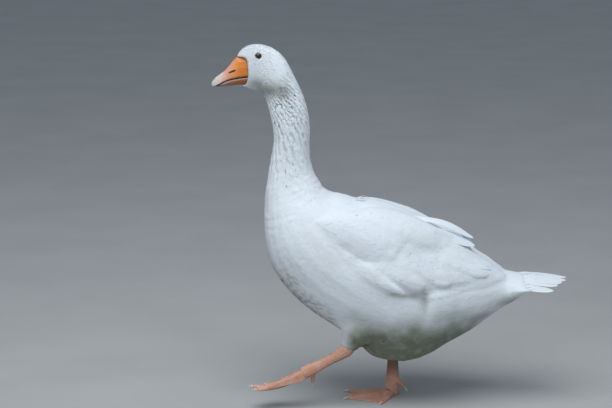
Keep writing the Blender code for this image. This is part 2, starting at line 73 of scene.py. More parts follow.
SIDES = {"left": -1.0, "right": 1.0}
BODY_NODES = ("head", "neck_upper", "neck_lower", "trunk", "tail")
WING_NODES = ("wing_left", "wing_right")
THIGH_NODES = ("thigh_left", "thigh_right")
LEG_NODES = tuple(f"{part}_{side}" for side in SIDES for part in ("shank", "foot", "hind_toe"))
PLUMAGE_NODES = BODY_NODES + WING_NODES + THIGH_NODES
BILL_NODES = ("bill_upper", "bill_lower")
EYE_NODES = ("eye_left", "eye_right")
SOLID_NODES = BODY_NODES + THIGH_NODES + EYE_NODES  # their common surface is the body's

BODY_NET, LEG_NET, BILL_NET = 2.4 * MM, 1.0 * MM, 0.55 * MM  # nets that the surfaces are rebuilt on
WING_REACH = 17 * MM  # the folded wing stands off the trunk by less than this
WING_PUSH = 14 * MM  # and lifts the plumage by no more than this
TAIL_THIN_X, TAIL_END_X = 0.268, 0.310  # the flesh of the tail thins out between these
TAIL_BARE_X = 0.276  # no small feather starts behind this
TAIL_NARROWING, TAIL_FLATTENING = 0.22, 0.95  # how much of its width and height the flesh loses
THIGH_REACH = (45 * MM, 15 * MM)  # the seam of the thighs is softened within these distances
THIGH_END_Z = (128 * MM, 165 * MM)  # and above these heights
THIGH_ROUNDS = 90  # rounds of that smoothing
SKIN_DEPTH = {  # depth of the plumage over the skin, in mm
    "head": 1.6,
    "neck_upper": 4.0,
    "neck_lower": 4.4,
    "trunk": 4.6,
    "tail": 3.6,
    "wing_left": 4.6,
    "wing_right": 4.6,
    "thigh_left": 3.6,
    "thigh_right": 3.6,
}
BARE_MARGIN = 30 * MM  # over this distance from the bill or a bare leg the plumage thins out
BARE_SHARE = 0.08  # share of the plumage's depth that is left at their edge
DEEPEST_SHARE = 0.36  # the plumage takes up no more than this share of the body's thickness

# Where the back line and the belly line run, in mm: back x, back z, belly x, belly z.
SPINE = (
    (-323, 733, -325, 682),
    (-293, 764, -279, 665),
    (-255, 762, -264, 657),
    (-220, 737, -259, 648),
    (-191, 679, -255, 634),
    (-173, 621, -247, 603),
    (-169, 557, -243, 556),
    (-162, 504, -253, 504),
    (-135, 463, -262, 441),
    (-87, 444, -263, 357),
    (-29, 434, -239, 277),
    (29, 416, -172, 204),
    (89, 388, -76, 138),
    (142, 353, 29, 88),
    (189, 319, 123, 129),
    (230, 292, 207, 183),
    (300, 284, 290, 240),
    (373, 272, 342, 250),
)
SPINE_STEPS = 260
DEPTH_STEPS = 13


# ---------------- meshes and numbers


def build_mesh(name, points, faces):
    """A mesh from an array of points and an array of faces with the same number of corners."""
    mesh = bpy.data.meshes.new(name)
    mesh.vertices.add(len(points))
    mesh.vertices.foreach_set("co", np.ascontiguousarray(points, dtype=np.float32).ravel())
    mesh.loops.add(faces.size)
    mesh.loops.foreach_set("vertex_index", np.ascontiguousarray(faces, dtype=np.int32).ravel())
    mesh.polygons.add(len(faces))
    mesh.polygons.foreach_set("loop_start", np.arange(0, faces.size, faces.shape[1], dtype=np.int32))
    mesh.update(calc_edges=True)
    return mesh


def add_object(name, data):
    obj = bpy.data.objects.new(name, data)
    bpy.context.collection.objects.link(obj)
    return obj


def add_smooth(name, mesh, material):
    """A smoothly shaded object of one material."""
    mesh.shade_smooth()
    mesh.materials.append(material)
    return add_object(name, mesh)


def mesh_arrays(mesh):
    """The points and triangles of a mesh."""
    mesh.calc_loop_triangles()
    points = np.empty(len(mesh.vertices) * 3)
    mesh.vertices.foreach_get("co", points)
    faces = np.empty(len(mesh.loop_triangles) * 3, dtype=np.int32)
    mesh.loop_triangles.foreach_get("vertices", faces)
    return points.reshape(-1, 3), faces.reshape(-1, 3)


def joined_arrays(parts):
    """Points and triangles of several (points, triangles) pairs together."""
    starts = np.cumsum([0] + [len(points) for points, _ in parts])
    faces = [part[1] + start for part, start in zip(parts, starts)]
    return np.vstack([part[0] for part in parts]), np.vstack(faces)


def grid_faces(rows, rings, closed, outward):
    """Triangles between rows of points that run round in rings. The last row joins the first if
    closed, and the triangles' order gives the side that they face."""
    faces = []
    for row, ring in product(range(rows), range(rings)):
        a, b = row * rings + ring, row * rings + (ring + 1) % rings
        onward = ((row + 1) % rows if closed else row + 1) * rings
        c, d = onward + (ring + 1) % rings, onward + ring
        faces.extend(((a, b, c), (a, c, d)) if outward else ((a, c, b), (a, d, c)))
    return np.array(faces, dtype=np.int32)


def node_arrays(name):
    return mesh_arrays(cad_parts[name].data)


def remeshed(arrays, net):
    """Points and triangles of the surface of some solids, on an even net."""
    obj = add_object("net", build_mesh("net", *arrays))
    modifier = obj.modifiers.new("net", "REMESH")
    modifier.mode = "VOXEL"
    modifier.voxel_size = net
    evaluated = obj.evaluated_get(bpy.context.evaluated_depsgraph_get())
    result = mesh_arrays(evaluated.to_mesh())
    evaluated.to_mesh_clear()
    mesh = obj.data
    bpy.data.objects.remove(obj)
    bpy.data.meshes.remove(mesh)
    return result


def edges_of(faces):
    pairs = np.vstack([faces[:, [0, 1]], faces[:, [1, 2]], faces[:, [2, 0]]])
    return np.unique(np.sort(pairs, axis=1), axis=0)


def relaxed(values, edges, rounds):
    """Values at points, each averaged with its neighbours a number of times."""
    values = np.array(values, dtype=float)
    flat = values.reshape(len(values), -1)
    first, second = edges.T
    share = np.bincount(edges.ravel(), minlength=len(values))[:, None]
    for _ in range(rounds):
        total = np.empty_like(flat)
        for axis in range(flat.shape[1]):
            total[:, axis] = np.bincount(first, flat[second, axis], len(values))
            total[:, axis] += np.bincount(second, flat[first, axis], len(values))
        flat = 0.5 * flat + 0.5 * total / share
    return flat.reshape(values.shape)


def unit(vectors):
    return vectors / np.maximum(np.linalg.norm(vectors, axis=-1, keepdims=True), 1e-12)


def smoothstep(low, high, value):
    share = np.clip((value - low) / (high - low), 0, 1)
    return share * share * (3 - 2 * share)


def window(rise, fall, value):
    """1 between the band where it rises and the band where it falls, 0 outside them."""
    return smoothstep(*rise, value) * (1 - smoothstep(*fall, value))


def face_crosses(points, faces):
    """Normals of the triangles, each as long as twice its area."""
    a, b, c = (points[faces[:, corner]] for corner in range(3))
    return np.cross(b - a, c - a)


def vertex_normals(points, faces):
    cross = face_crosses(points, faces)
    normals = np.zeros_like(points)
    for axis in range(3):
        for corner in range(3):
            normals[:, axis] += np.bincount(faces[:, corner], cross[:, axis], len(points))
    return unit(normals)


NOISE_TABLE = np.random.default_rng(5).random(4096)
NOISE_PRIMES = (73856093, 19349663, 83492791)


def noise(coordinates, seed=0):
    """Smooth random values from 0 to 1, which change over a distance of about 1."""
    base = np.floor(coordinates).astype(np.int64)
    inside = coordinates - base
    inside = inside * inside * (3 - 2 * inside)
    total = np.zeros(len(coordinates))
    for corner in product((0, 1), repeat=coordinates.shape[1]):
        key = np.full(len(coordinates), seed * 9176 + 17, dtype=np.int64)
        weight = np.ones(len(coordinates))
        for axis, step in enumerate(corner):
            key ^= (base[:, axis] + step) * NOISE_PRIMES[axis]
            weight *= inside[:, axis] if step else 1 - inside[:, axis]
        total += weight * NOISE_TABLE[key % len(NOISE_TABLE)]
    return total


def point_tree(points):
    tree = KDTree(len(points))
    for index, point in enumerate(points.tolist()):
        tree.insert(point, index)
    tree.balance()
    return tree


def spline(points, count):
    """A smooth curve of count points through the given ones."""
    points = np.asarray(points, dtype=float)
    padded = np.vstack([2 * points[0] - points[1], points, 2 * points[-1] - points[-2]])
    places = np.linspace(0, len(points) - 1, count)
    index = np.minimum(places.astype(int), len(points) - 2)
    f = (places - index)[:, None]
    a, b, c, d = (padded[index + k] for k in range(4))
    return b + 0.5 * f * (c - a + f * (2 * a - 5 * b + 4 * c - d + f * (3 * (b - c) + d - a)))


# ---------------- the lie of the coat


class Lie:
    """Says for any point of the body how far along the bird it is, and which way feathers run."""

    CELL = 4 * MM
    LOW = np.array([-0.42, -0.03])
    SIZE = (212, 212)

    def __init__(self):
        rows = spline(np.array(SPINE) * MM, SPINE_STEPS)
        back, belly = rows[:, None, :2], rows[:, None, 2:]
        share = np.linspace(0, 1, DEPTH_STEPS)[:, None]
        grid = back + (belly - back) * share
        runs = unit(np.gradient(grid, axis=0))
        middle = grid[:, DEPTH_STEPS // 2]
        along = np.concatenate([[0], np.cumsum(np.linalg.norm(np.diff(middle, axis=0), axis=1))])
        depth = np.linalg.norm(belly - back, axis=-1)
        rise = (0.5 - share[:, 0]) * depth
        known = np.stack([runs[..., 0], runs[..., 1], along[:, None] + 0 * rise, rise], axis=-1)
        tree = point_tree(np.insert(grid.reshape(-1, 2), 1, 0, axis=1))
        cells = self.LOW + self.CELL * np.argwhere(np.ones(self.SIZE))
        nearest = [tree.find((x, 0, z))[1] for x, z in cells]
        self.table = known.reshape(-1, 4)[nearest].reshape(self.SIZE + (4,))

    def __call__(self, points):
        """Heading (x, 0, z), distance along the bird, and angle round it from the back (0) to
        the belly (pi), positive on the right side."""
        place = (points[:, [0, 2]] - self.LOW) / self.CELL
        place = np.clip(place, 0, np.array(self.SIZE) - 1.001)
        cell = place.astype(int)
        inside = (place - cell)[:, :, None]
        i, j = cell.T
        low = self.table[i, j] * (1 - inside[:, 0]) + self.table[i + 1, j] * inside[:, 0]
        high = self.table[i, j + 1] * (1 - inside[:, 0]) + self.table[i + 1, j + 1] * inside[:, 0]
        known = low * (1 - inside[:, 1]) + high * inside[:, 1]
        heading = np.zeros((len(points), 3))
        heading[:, [0, 2]] = unit(known[:, :2])
        side = np.where(points[:, 1] < 0, -1.0, 1.0)
        angle = side * np.arctan2(np.abs(points[:, 1]), known[:, 3])
        return heading, known[:, 2], angle


lie = Lie()


def along_at(x, z):
    """Distance along the bird of a point given in mm."""
    return lie(np.array([[x * MM, 0, z * MM]]))[1][0]


ALONG_NAPE = along_at(-232, 690)
ALONG_NECK_MIDDLE = along_at(-206, 557)
ALONG_NECK_FOOT = along_at(-205, 500)
ALONG_CROP = along_at(-190, 425)


class Surface:
    """A closed surface that vanes are laid on."""

    def __init__(self, points, faces):
        self.points = points
        self.faces = faces
        self.centres = points[faces].mean(1)
        self.normals = vertex_normals(points, faces)
        self.tree = BVHTree.FromPolygons(points.tolist(), faces.tolist())

    def nearest(self, points):
        """The nearest places on the surface, and the smooth normals there."""
        hits = [self.tree.find_nearest(point) for point in points.tolist()]
        places = np.array([hit[0][:] for hit in hits])
        faces = self.faces[[hit[2] for hit in hits]]
        a, b, c = (self.points[faces[:, corner]] for corner in range(3))
        whole = np.linalg.norm(np.cross(b - a, c - a), axis=1) + 1e-18
        at_a = np.linalg.norm(np.cross(b - places, c - places), axis=1) / whole
        at_b = np.linalg.norm(np.cross(c - places, a - places), axis=1) / whole
        weights = np.stack([at_a, at_b, 1 - at_a - at_b], axis=1)
        normals = (self.normals[faces] * weights[:, :, None]).sum(1)
        return places, unit(normals)

    def distance(self, points):
        return np.array([self.tree.find_nearest(point)[3] for point in points.tolist()])


def node_surface(*names):
    return Surface(*joined_arrays([node_arrays(name) for name in names]))


# ---------------- the outer surface and the skin

# The crease where the breast feathers and the wing's long feathers come out from under the
# shoulder, from front to back, in mm: x, z and depth.
HOLLOW_EDGE = (
    (-150, 400, 0),
    (-127, 378, 4),
    (-114, 366, 7),
    (-98, 354, 11),
    (-84, 343, 12),
    (-69, 334, 11),
    (-51, 328, 10),
    (-35, 326, 8),
    (-14, 328, 7),
    (12, 333, 7),
    (24, 352, 6),
    (46, 356, 6),
    (67, 343, 7),
    (86, 337, 7),
    (101, 338, 6),
    (114, 338, 3),
    (133, 330, 0),
)
HOLLOW_REACH, RIDGE_REACH = 48, 54  # how far it reaches above and below the crease, in mm
HOLLOW_CURVE, RIDGE_CURVE = 1.3, 1.7  # how steeply it falls to the crease from above and below
HOLLOW_WANDER = 7  # how far the crease wanders, in mm

# Other soft forms of the flank, in mm and degrees: x, z, half length, reach upward, reach downward,
# slope up toward the tail, height.
SOFT_FORMS = (
    (-25, 296, 52, 8, 40, -40, 4.0),  # breast feathers over the wing's front edge
    (-18, 404, 95, 22, 20, -14, 4.0),  # rounded mass of the shoulder
    (108, 246, 30, 22, 36, 0, 8.0),  # bright patch of flank below the wing
    (70, 244, 11, 22, 26, 8, -5.5),  # gap in front of it
    (120, 268, 90, 6, 10, 6, -3.0),  # line under the tips of the wing feathers
    (20, 272, 26, 6, 6, -40, -3.0),  # cleft between the first two of them
)

# The long feathers of the folded wing, in mm: root x, root z, tip x, tip z, width, lift.
LOBES = (
    (-78, 322, 33, 260, 27, 4.5),  # secondaries and their coverts, front to back
    (-28, 340, 68, 271, 42, 5.0),
    (28, 352, 124, 276, 50, 4.5),
    (70, 352, 204, 286, 36, 3.2),
    (98, 352, 214, 297, 26, 1.8),
    (10, 416, 118, 350, 46, 1.5),  # shoulder feathers
)
SWELL = 1.6 * MM  # random swelling of the body's plumage

# Forms of the outline, in mm: x, z, radius, height.
OUTLINE_FORMS = (
    (-128, 457, 28, -4.5),  # foot of the neck
    (-66, 441, 22, -4.0),  # dip between the shoulders
    (-172, 612, 62, 2.4),  # nape
    (-34, 108, 34, 8.0),  # fluff of the belly in front of the right leg
    (256, 222, 34, 4.5),  # soft feathers under the tail
)


def lobe_forms(x, z):
    """How far the long feathers of the wing stand out: a sharp lower edge, a soft upper side. Along
    is 0 at a feather's root and 1 at its tip, across is -1 at its lower edge and 1 at its upper."""
    total = np.zeros(len(x))
    for root_x, root_z, tip_x, tip_z, width, lift in LOBES:
        run = np.array((tip_x - root_x, tip_z - root_z)) * MM
        length = math.hypot(*run)
        dx, dz = x - root_x * MM, z - root_z * MM
        along = (dx * run[0] + dz * run[1]) / length ** 2
        narrow = np.sqrt(1.05 - np.clip((along - 0.5) / 0.5, 0, 1) ** 2)
        across = (dz * run[0] - dx * run[1]) / length / (width * MM / 2) / narrow
        out = smoothstep(0.1, 0.8, along) * smoothstep(1.04, 0.96, along)
        profile = smoothstep(-1.2, -0.8, across) * smoothstep(1.1, -0.1, across)
        total = np.maximum(total, lift * MM * out * profile)
    return total


def soft_forms(points, normals):
    """How far the plumage swells or sinks."""
    x, z = points[:, 0], points[:, 2]
    edge = np.array(HOLLOW_EDGE) * MM
    level, sunk = (np.interp(x, edge[:, 0], edge[:, column]) for column in (1, 2))
    above = (z - level) / MM + HOLLOW_WANDER * (noise(points / (17 * MM), 31) - 0.5)
    away = np.where(above > 0, above / HOLLOW_REACH, -above / RIDGE_REACH)
    sunk = sunk * (0.7 + 0.6 * noise(points / (28 * MM), 32))
    curve = np.where(above > 0, HOLLOW_CURVE, RIDGE_CURVE)
    total = lobe_forms(x, z) - sunk * np.clip(1 - away, 0, 1) ** curve
    for form_x, form_z, half_length, up, down, degrees, height in SOFT_FORMS:
        turn = math.radians(degrees)
        dx, dz = x - form_x * MM, z - form_z * MM
        run = (dx * math.cos(turn) + dz * math.sin(turn)) / (half_length * MM)
        rise = dz * math.cos(turn) - dx * math.sin(turn)
        rise = rise / np.where(rise > 0, up * MM, down * MM)
        total += height * MM * np.exp(-(run ** 2) ** 1.5 - rise ** 2)
    total *= np.abs(normals[:, 1])
    for form_x, form_z, radius, height in OUTLINE_FORMS:
        away = ((x - form_x * MM) ** 2 + (z - form_z * MM) ** 2) / (radius * MM) ** 2
        total += height * MM * np.exp(-away)
    swell = noise(points / (45 * MM), 21) + 0.5 * noise(points / (20 * MM), 22) - 0.75
    on_body = smoothstep(ALONG_NECK_FOOT, ALONG_CROP, lie(points)[1])
    return total + SWELL * swell * on_body


def wing_push(points, normals, near):
    """How far the folded wings reach out over the trunk at each point."""
    wings = node_surface(*WING_NODES)
    push = np.zeros(len(points))
    starts = points + normals * WING_REACH
    for index in np.flatnonzero(near):
        hit = wings.tree.ray_cast(starts[index].tolist(), (-normals[index]).tolist(), WING_REACH)
        if hit[0] is not None:
            push[index] = WING_REACH - hit[3]
    return push


# The sheet of long tail feathers: its height in the middle at one x, how far it droops at one
# distance to the side, and how much it falls toward its end.
TAIL_LEVEL, TAIL_LEVEL_X = 0.264, 0.33
TAIL_DROOP, TAIL_DROOP_Y = 0.016, 0.06
TAIL_FALL = 0.05


def tail_level(points):
    droop = TAIL_DROOP * (np.abs(points[:, 1]) / TAIL_DROOP_Y) ** 1.4
    return TAIL_LEVEL - droop + TAIL_FALL * (TAIL_LEVEL_X - points[:, 0])


def thin_tail(points):
    """Draws the flesh of the tail together, so that it ends as a thin sheet among the feathers."""
    behind = np.maximum(points[:, 0] - TAIL_THIN_X, 0)
    whole = TAIL_END_X - TAIL_THIN_X
    points[:, 0] += whole * (1 - np.exp(-behind / whole)) - behind
    thinned = smoothstep(TAIL_THIN_X + 10 * MM, TAIL_END_X - 3 * MM, points[:, 0])
    points[:, 1] *= 1 - TAIL_NARROWING * thinned
    points[:, 2] += TAIL_FLATTENING * thinned * (tail_level(points) - points[:, 2])


def blend_thighs(points, edges):
    """Softens the seam between trunk and thighs, except at the thighs' lower ends."""
    at_thigh = smoothstep(*THIGH_REACH, node_surface(*THIGH_NODES).distance(points))
    at_thigh *= smoothstep(*THIGH_END_Z, points[:, 2])
    points += at_thigh[:, None] * (relaxed(points, edges, THIGH_ROUNDS) - points)


def nearest_nodes(points, solids):
    """The name of the CAD node that each point is nearest."""
    cad = Surface(*joined_arrays(solids))
    owner_of_face = np.repeat(np.arange(len(solids)), [len(part[1]) for part in solids])
    hits = [cad.tree.find_nearest(point)[2] for point in points.tolist()]
    return np.array(SOLID_NODES, dtype=object)[owner_of_face[hits]]


def outer_surface():
    """The surface that the tips of the plumage reach, its edges, and the CAD node that each of its
    points belongs to."""
    solids = [node_arrays(name) for name in SOLID_NODES]
    points, faces = remeshed(joined_arrays(solids), BODY_NET)
    edges = edges_of(faces)
    points = relaxed(points, edges, 5)
    blend_thighs(points, edges)
    owner = nearest_nodes(points, solids)
    normals = unit(relaxed(vertex_normals(points, faces), edges, 3))
    push = wing_push(points, normals, owner == "trunk")
    side = np.where(points[:, 1] < 0, *WING_NODES)
    owner = np.where(push > 1 * MM, side, owner)
    push = relaxed(np.minimum(push, WING_PUSH), edges, 9)
    forms = relaxed(soft_forms(points, normals), edges, 3)
    points = points + normals * (push + forms)[:, None]
    thin_tail(points)
    return Surface(points, faces), edges, owner


def inner_skin(outer, edges, owner, bare):
    """The skin under the plumage: the outer surface drawn in by the depth of the coat."""
    depth = np.array([SKIN_DEPTH.get(name, SKIN_DEPTH["head"]) for name in owner]) * MM
    depth = relaxed(depth, edges, 12)
    depth *= BARE_SHARE + (1 - BARE_SHARE) * smoothstep(0, BARE_MARGIN, bare.distance(outer.points))
    normals = outer.normals
    thickness = np.ones(len(depth))
    starts = outer.points - normals * 0.2 * MM
    for index, (start, normal) in enumerate(zip(starts.tolist(), (-normals).tolist())):
        hit = outer.tree.ray_cast(start, normal)
        if hit[0] is not None:
            thickness[index] = hit[3]
    depth = np.minimum(depth, DEEPEST_SHARE * relaxed(thickness, edges, 2))
    return relaxed(outer.points - normals * depth[:, None], edges, 2)


# ---------------- vanes


class Vane(NamedTuple):
    """Sizes of one kind of vane."""

    length: float
    width: float
    depth: float  # how far its root is sunk
    rise: float  # how far its lie climbs from root to tip
    camber: float
    thickness: float
    stations: int = 6  # rows of points from root to tip
    columns: int = 5  # points across each row
    root: float = 0.35  # width at the root and the tip, as a share of the widest
    tip: float = 0.8
    rounding: float = 0.2  # how much shorter the edges are than the middle
    ragged: float = 0.1  # and how much shorter any point may be at random
    sway: float = 0.06  # how far vanes bend to the side, as a share of the length
    yaw: float = 0.12  # spread of their headings, in radians
    jitter: float = 0.25 * MM  # spread of the heights of their tips
    lift: float = 0.0  # how far the tip stands out
    tuck: float = 0.15 * MM  # how far the tip bends down into the coat
    hidden: float = 0.16  # share of the length that is sunk


def vane_faces(stations, columns):
    """Triangles of one closed vane: an upper face of columns points a row, and a keel below."""
    row, last = columns + 1, columns - 1
    end = (stations - 1) * row
    faces = []
    for a in range(0, end, row):
        b = a + row
        keel_a, keel_b = a + columns, b + columns
        for left in range(last):
            faces += [(a + left, b + left, b + left + 1), (a + left, b + left + 1, a + left + 1)]
        faces += [(a, keel_a, keel_b), (a, keel_b, b)]
        faces += [(keel_a, a + last, b + last), (keel_a, b + last, keel_b)]
    for left in range(last):
        faces += [(columns, left, left + 1), (end + columns, end + left + 1, end + left)]
    return np.array(faces, dtype=np.int32)


def vane_pattern(kind, count):
    """For count vanes: how far along and across each point is, and its height in the vane."""
    u = 1 - (1 - np.linspace(0, 1, kind.stations)) ** 1.85
    v = np.linspace(-1, 1, kind.columns)
    shorter = kind.rounding * v ** 2 + kind.ragged * random.random((count, 1, kind.columns))
    along = u[:, None] * (1 - shorter * u[:, None] ** 3)
    half = np.interp(u, (0, 0.25, 0.6), (kind.root, 0.8, 1))
    half *= np.sqrt(1 - (1 - kind.tip ** 2) * np.clip((u - 0.55) / 0.45, 0, 1) ** 2)
    across = np.broadcast_to(half[:, None] * v, along.shape)
    height = kind.camber * half[:, None] * (1 - v ** 2)
    middle = kind.columns // 2
    keel = height[:, middle:middle + 1] - kind.thickness * (1 - 0.8 * u[:, None] ** 4)
    height = np.broadcast_to(np.hstack([height, keel]), along.shape[:2] + (kind.columns + 1,))
    along = np.concatenate([along, along[..., middle:middle + 1]], axis=2)
    across = np.concatenate([across, np.zeros_like(across[..., :1])], axis=2)
    return along, across, height


class Coat:
    """Vanes gathered into one object, with their maps and values."""

    def __init__(self, name):
        self.name = name
        self.parts = []
        self.maps = []
        self.tones = []

    def add(self, kind, points, along, across, roots, length, width):
        """Adds vanes of one kind. Points, along and across hold one vane after the other; roots,
        length and width have one entry for each."""
        count, size = len(roots), kind.stations * (kind.columns + 1)
        faces = vane_faces(kind.stations, kind.columns) + np.arange(count)[:, None, None] * size
        self.parts.append((points.reshape(-1, 3), faces.reshape(-1, 3)))
        _, distance, angle = lie(roots)
        place = np.stack([angle / (2 * math.pi), distance], axis=1)
        patch = np.stack([across.ravel() / 2, along.ravel() - 0.5], axis=1)
        sizes = np.stack([width, length], axis=1)
        self.maps.append((np.repeat(place, size, axis=0), patch, patch * np.repeat(sizes, size, axis=0)))
        self.tones.append(np.repeat(random.random(count), size))

    def finish(self, material):
        points, faces = joined_arrays(self.parts)
        mesh = build_mesh(self.name, points, faces)
        places, patches, barbs = (np.vstack(rows) for rows in zip(*self.maps))
        low, high = places.min(0), places.max(0)
        baked = PATCH_MARGIN + (1 - 2 * PATCH_MARGIN) * (places - low) / (high - low)
        add_map(mesh, "OFBake", faces, baked + PATCH_SIZE * patches)
        add_map(mesh, "vane", faces, barbs / BARB_UNIT + 0.5)
        add_value(mesh, "tone", np.concatenate(self.tones))
        add_markings_and_shade(mesh, points)
        obj = add_smooth(self.name, mesh, material)
        mesh.set_sharp_from_angle(angle=SHARP_ANGLE)
        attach(obj, "root")


PATCH_SIZE = 0.003  # each vane's patch on the map OFBake
PATCH_MARGIN = 0.01
BARB_UNIT = 0.1  # the map of barbs is laid out at this many metres to the unit
SHARP_ANGLE = math.radians(70)


def add_map(mesh, name, faces, places):
    """A UV map from a place for each point."""
    layer = mesh.uv_layers.new(name=name)
    layer.uv.foreach_set("vector", places[faces.ravel()].astype(np.float32).ravel())


def add_value(mesh, name, values):
    attribute = mesh.attributes.new(name, "FLOAT", "POINT")
    attribute.data.foreach_set("value", np.asarray(values, dtype=np.float32))


SIZE_SPREAD = (0.86, 1.14)  # vanes of one kind differ in size by this much
PATH_STEPS = 200


def turned(heading, normal, angle):
    """Headings laid in the surface and turned about its normals."""
    heading = unit(heading - normal * (heading * normal).sum(-1, keepdims=True))
    side = np.cross(normal, heading)
    return heading * np.cos(angle)[:, None] + side * np.sin(angle)[:, None]


def lay_vanes(coat, outer, roots, heading, kind, scale=1.0, relief=None):
    """Lays vanes on the outer surface: each follows it from its sunk root to its tip."""
    count = len(roots)
    if not count:
        return
    scale = np.broadcast_to(scale, (count,))
    place, normal = outer.nearest(roots)
    heading = turned(heading, normal, random.normal(0, kind.yaw, count))
    side = np.cross(normal, heading)
    along, across, height = vane_pattern(kind, count)
    length = kind.length * scale * random.uniform(*SIZE_SPREAD, count)
    width = kind.width * scale * random.uniform(*SIZE_SPREAD, count)
    sway = random.normal(0, kind.sway, count)
    long, wide, swung = (values[:, None, None] for values in (length, width, sway))
    sideways = across * wide / 2 + swung * along ** 2 * long
    flat = place[:, None, None] + heading[:, None, None] * along[..., None] * long[..., None]
    flat = (flat + side[:, None, None] * sideways[..., None]).reshape(-1, 3)
    laid, normals = outer.nearest(flat)
    lifted = vane_heights(kind, along, height, scale)
    if relief is not None:
        lifted = lifted + relief(laid).reshape(lifted.shape)
    coat.add(kind, laid + normals * lifted.reshape(-1, 1), along, across, roots, length, width)


def vane_heights(kind, along, height, scale):
    """Height of each point of the vanes over the outer surface."""
    scale = scale[:, None, None]
    jitter = random.normal(0, kind.jitter, scale.shape)
    sunk = np.clip(1 - along / kind.hidden, 0, 1) ** 2
    slope = kind.rise * (1 - along) + (kind.depth - kind.rise) * sunk
    return scale * height - slope + jitter * along + kind.lift * along ** 2 - kind.tuck * along ** 8


LOBE_LIFT, LOBE_TILT = 0.3 * MM, 0.5 * MM


def lay_long_vane(coat, outer, root, tip, kind, width):
    """Lays one long vane on the outer surface, tilted so that its upper edge dives under the next
    one and its lower edge stands out."""
    run = tip - root
    _, normal = outer.nearest((root + tip)[None] / 2)
    side = np.cross(normal, turned(unit(run)[None], normal, np.zeros(1)))[0]
    along, across, height = vane_pattern(kind, 1)
    flat = root + run * along[..., None] + side * across[..., None] * width / 2
    laid, normals = outer.nearest(flat.reshape(-1, 3))
    out = smoothstep(0.15, 0.75, along)
    lifted = vane_heights(kind, along, height * out, np.ones(1))
    lifted = lifted + (LOBE_LIFT - LOBE_TILT * np.sign(side[2]) * across) * out
    points = laid + normals * lifted.reshape(-1, 1)
    coat.add(kind, points, along, across, root[None], [np.linalg.norm(run)], [width])


def add_free_vanes(coat, kind, feathers):
    """Long feathers that stand free of the body, each given as a curve of points, the way that its
    upper face looks, and its width."""
    for path, up, width in feathers:
        along, across, height = vane_pattern(kind, 1)
        fine = spline(path, PATH_STEPS)
        tangent = unit(np.gradient(fine, axis=0))
        side = unit(np.cross(up, tangent))
        normal = np.cross(tangent, side)
        index = np.clip((along[0] * (PATH_STEPS - 1)).round().astype(int), 0, PATH_STEPS - 1)
        points = fine[index] + side[index] * (across[0] * width / 2)[..., None]
        points = points + normal[index] * height[0][..., None]
        length = np.linalg.norm(fine[-1] - fine[0])
        coat.add(kind, points, along, across, path[:1], [length], [width])


def scatter(surface, allowed, spacing):
    """Random points on the allowed faces, no two closer than the spacing."""
    corners = surface.points[surface.faces[allowed]]
    area = np.linalg.norm(face_crosses(surface.points, surface.faces[allowed]), axis=1) / 2
    count = int(4 * area.sum() / spacing ** 2)
    if not count:
        return np.zeros((0, 3))
    picked = random.choice(len(corners), count, p=area / area.sum())
    a, b = random.random((2, count))
    a, b = np.where(a + b > 1, 1 - a, a)[:, None], np.where(a + b > 1, 1 - b, b)[:, None]
    base = corners[picked, 0]
    points = base + a * (corners[picked, 1] - base) + b * (corners[picked, 2] - base)
    tree = point_tree(points)
    free = np.ones(count, dtype=bool)
    kept = []
    for index, point in enumerate(points.tolist()):
        if free[index]:
            kept.append(index)
            free[[found[1] for found in tree.find_range(point, spacing)]] = False
    return points[kept]


# ---------------- markings and painted shade

# Patches of soil and of painted shade, in mm: x, z, half length, half height, strength.
SOILED_AND_SHADED = (
    (-280, 686, 18, 11, 0.4),  # jaw, chin and throat: soil, and painted shade under the head
    (-258, 671, 22, 17, 0.52),
    (-236, 674, 22, 18, 0.46),
    (-220, 664, 14, 18, 0.42),
    (44, 256, 14, 7, 0.6),  # painted shade in the gaps under the folded wing
    (69, 240, 8, 24, 0.6),
    (8, 262, 16, 6, 0.5),
    (60, 360, 44, 18, 0.2),  # painted shade on the shoulder feathers
    (-208, 505, 30, 40, 0.08),  # foot of the neck
    (205, 200, 34, 12, 0.4),  # vent and under tail: soil, and painted shade underneath
    (258, 226, 40, 13, 0.55),
)
# Flecks of soil down the front of the lower breast.
FLECKED = (
    (-214, 276, 30, 46, 0.5),
    (-180, 222, 42, 28, 0.7),
    (-140, 196, 34, 20, 0.55),
)
SOIL_SHADE_TOP, SOIL_SHADE_FULL = 240 * MM, 152 * MM  # the belly's soil and painted shade deepen between these heights
SOIL_SHADE_RISE, SOIL_SHADE_RISE_X = 0.12, 60 * MM  # both climb by this slope behind this x
SOIL_SHADE_WAVE = 22 * MM  # how wavy the upper edge of the belly's soil and painted shade is
BELLY_X, VENT_X = (-116 * MM, -68 * MM), (150 * MM, 225 * MM)  # the belly's soil and painted shade set in and end here
UNDERSIDE = (0.8, 0.98)  # shares of the way round from the back that count as underneath, with soil and painted shade


def patches(points, table):
    """How strong the patches of a table are at each point."""
    total = np.zeros(len(points))
    for x, z, half_length, half_height, strength in table:
        run = (points[:, 0] - x * MM) / (half_length * MM)
        rise = (points[:, 2] - z * MM) / (half_height * MM)
        total += strength * np.exp(-(run ** 2) - rise ** 2)
    return total


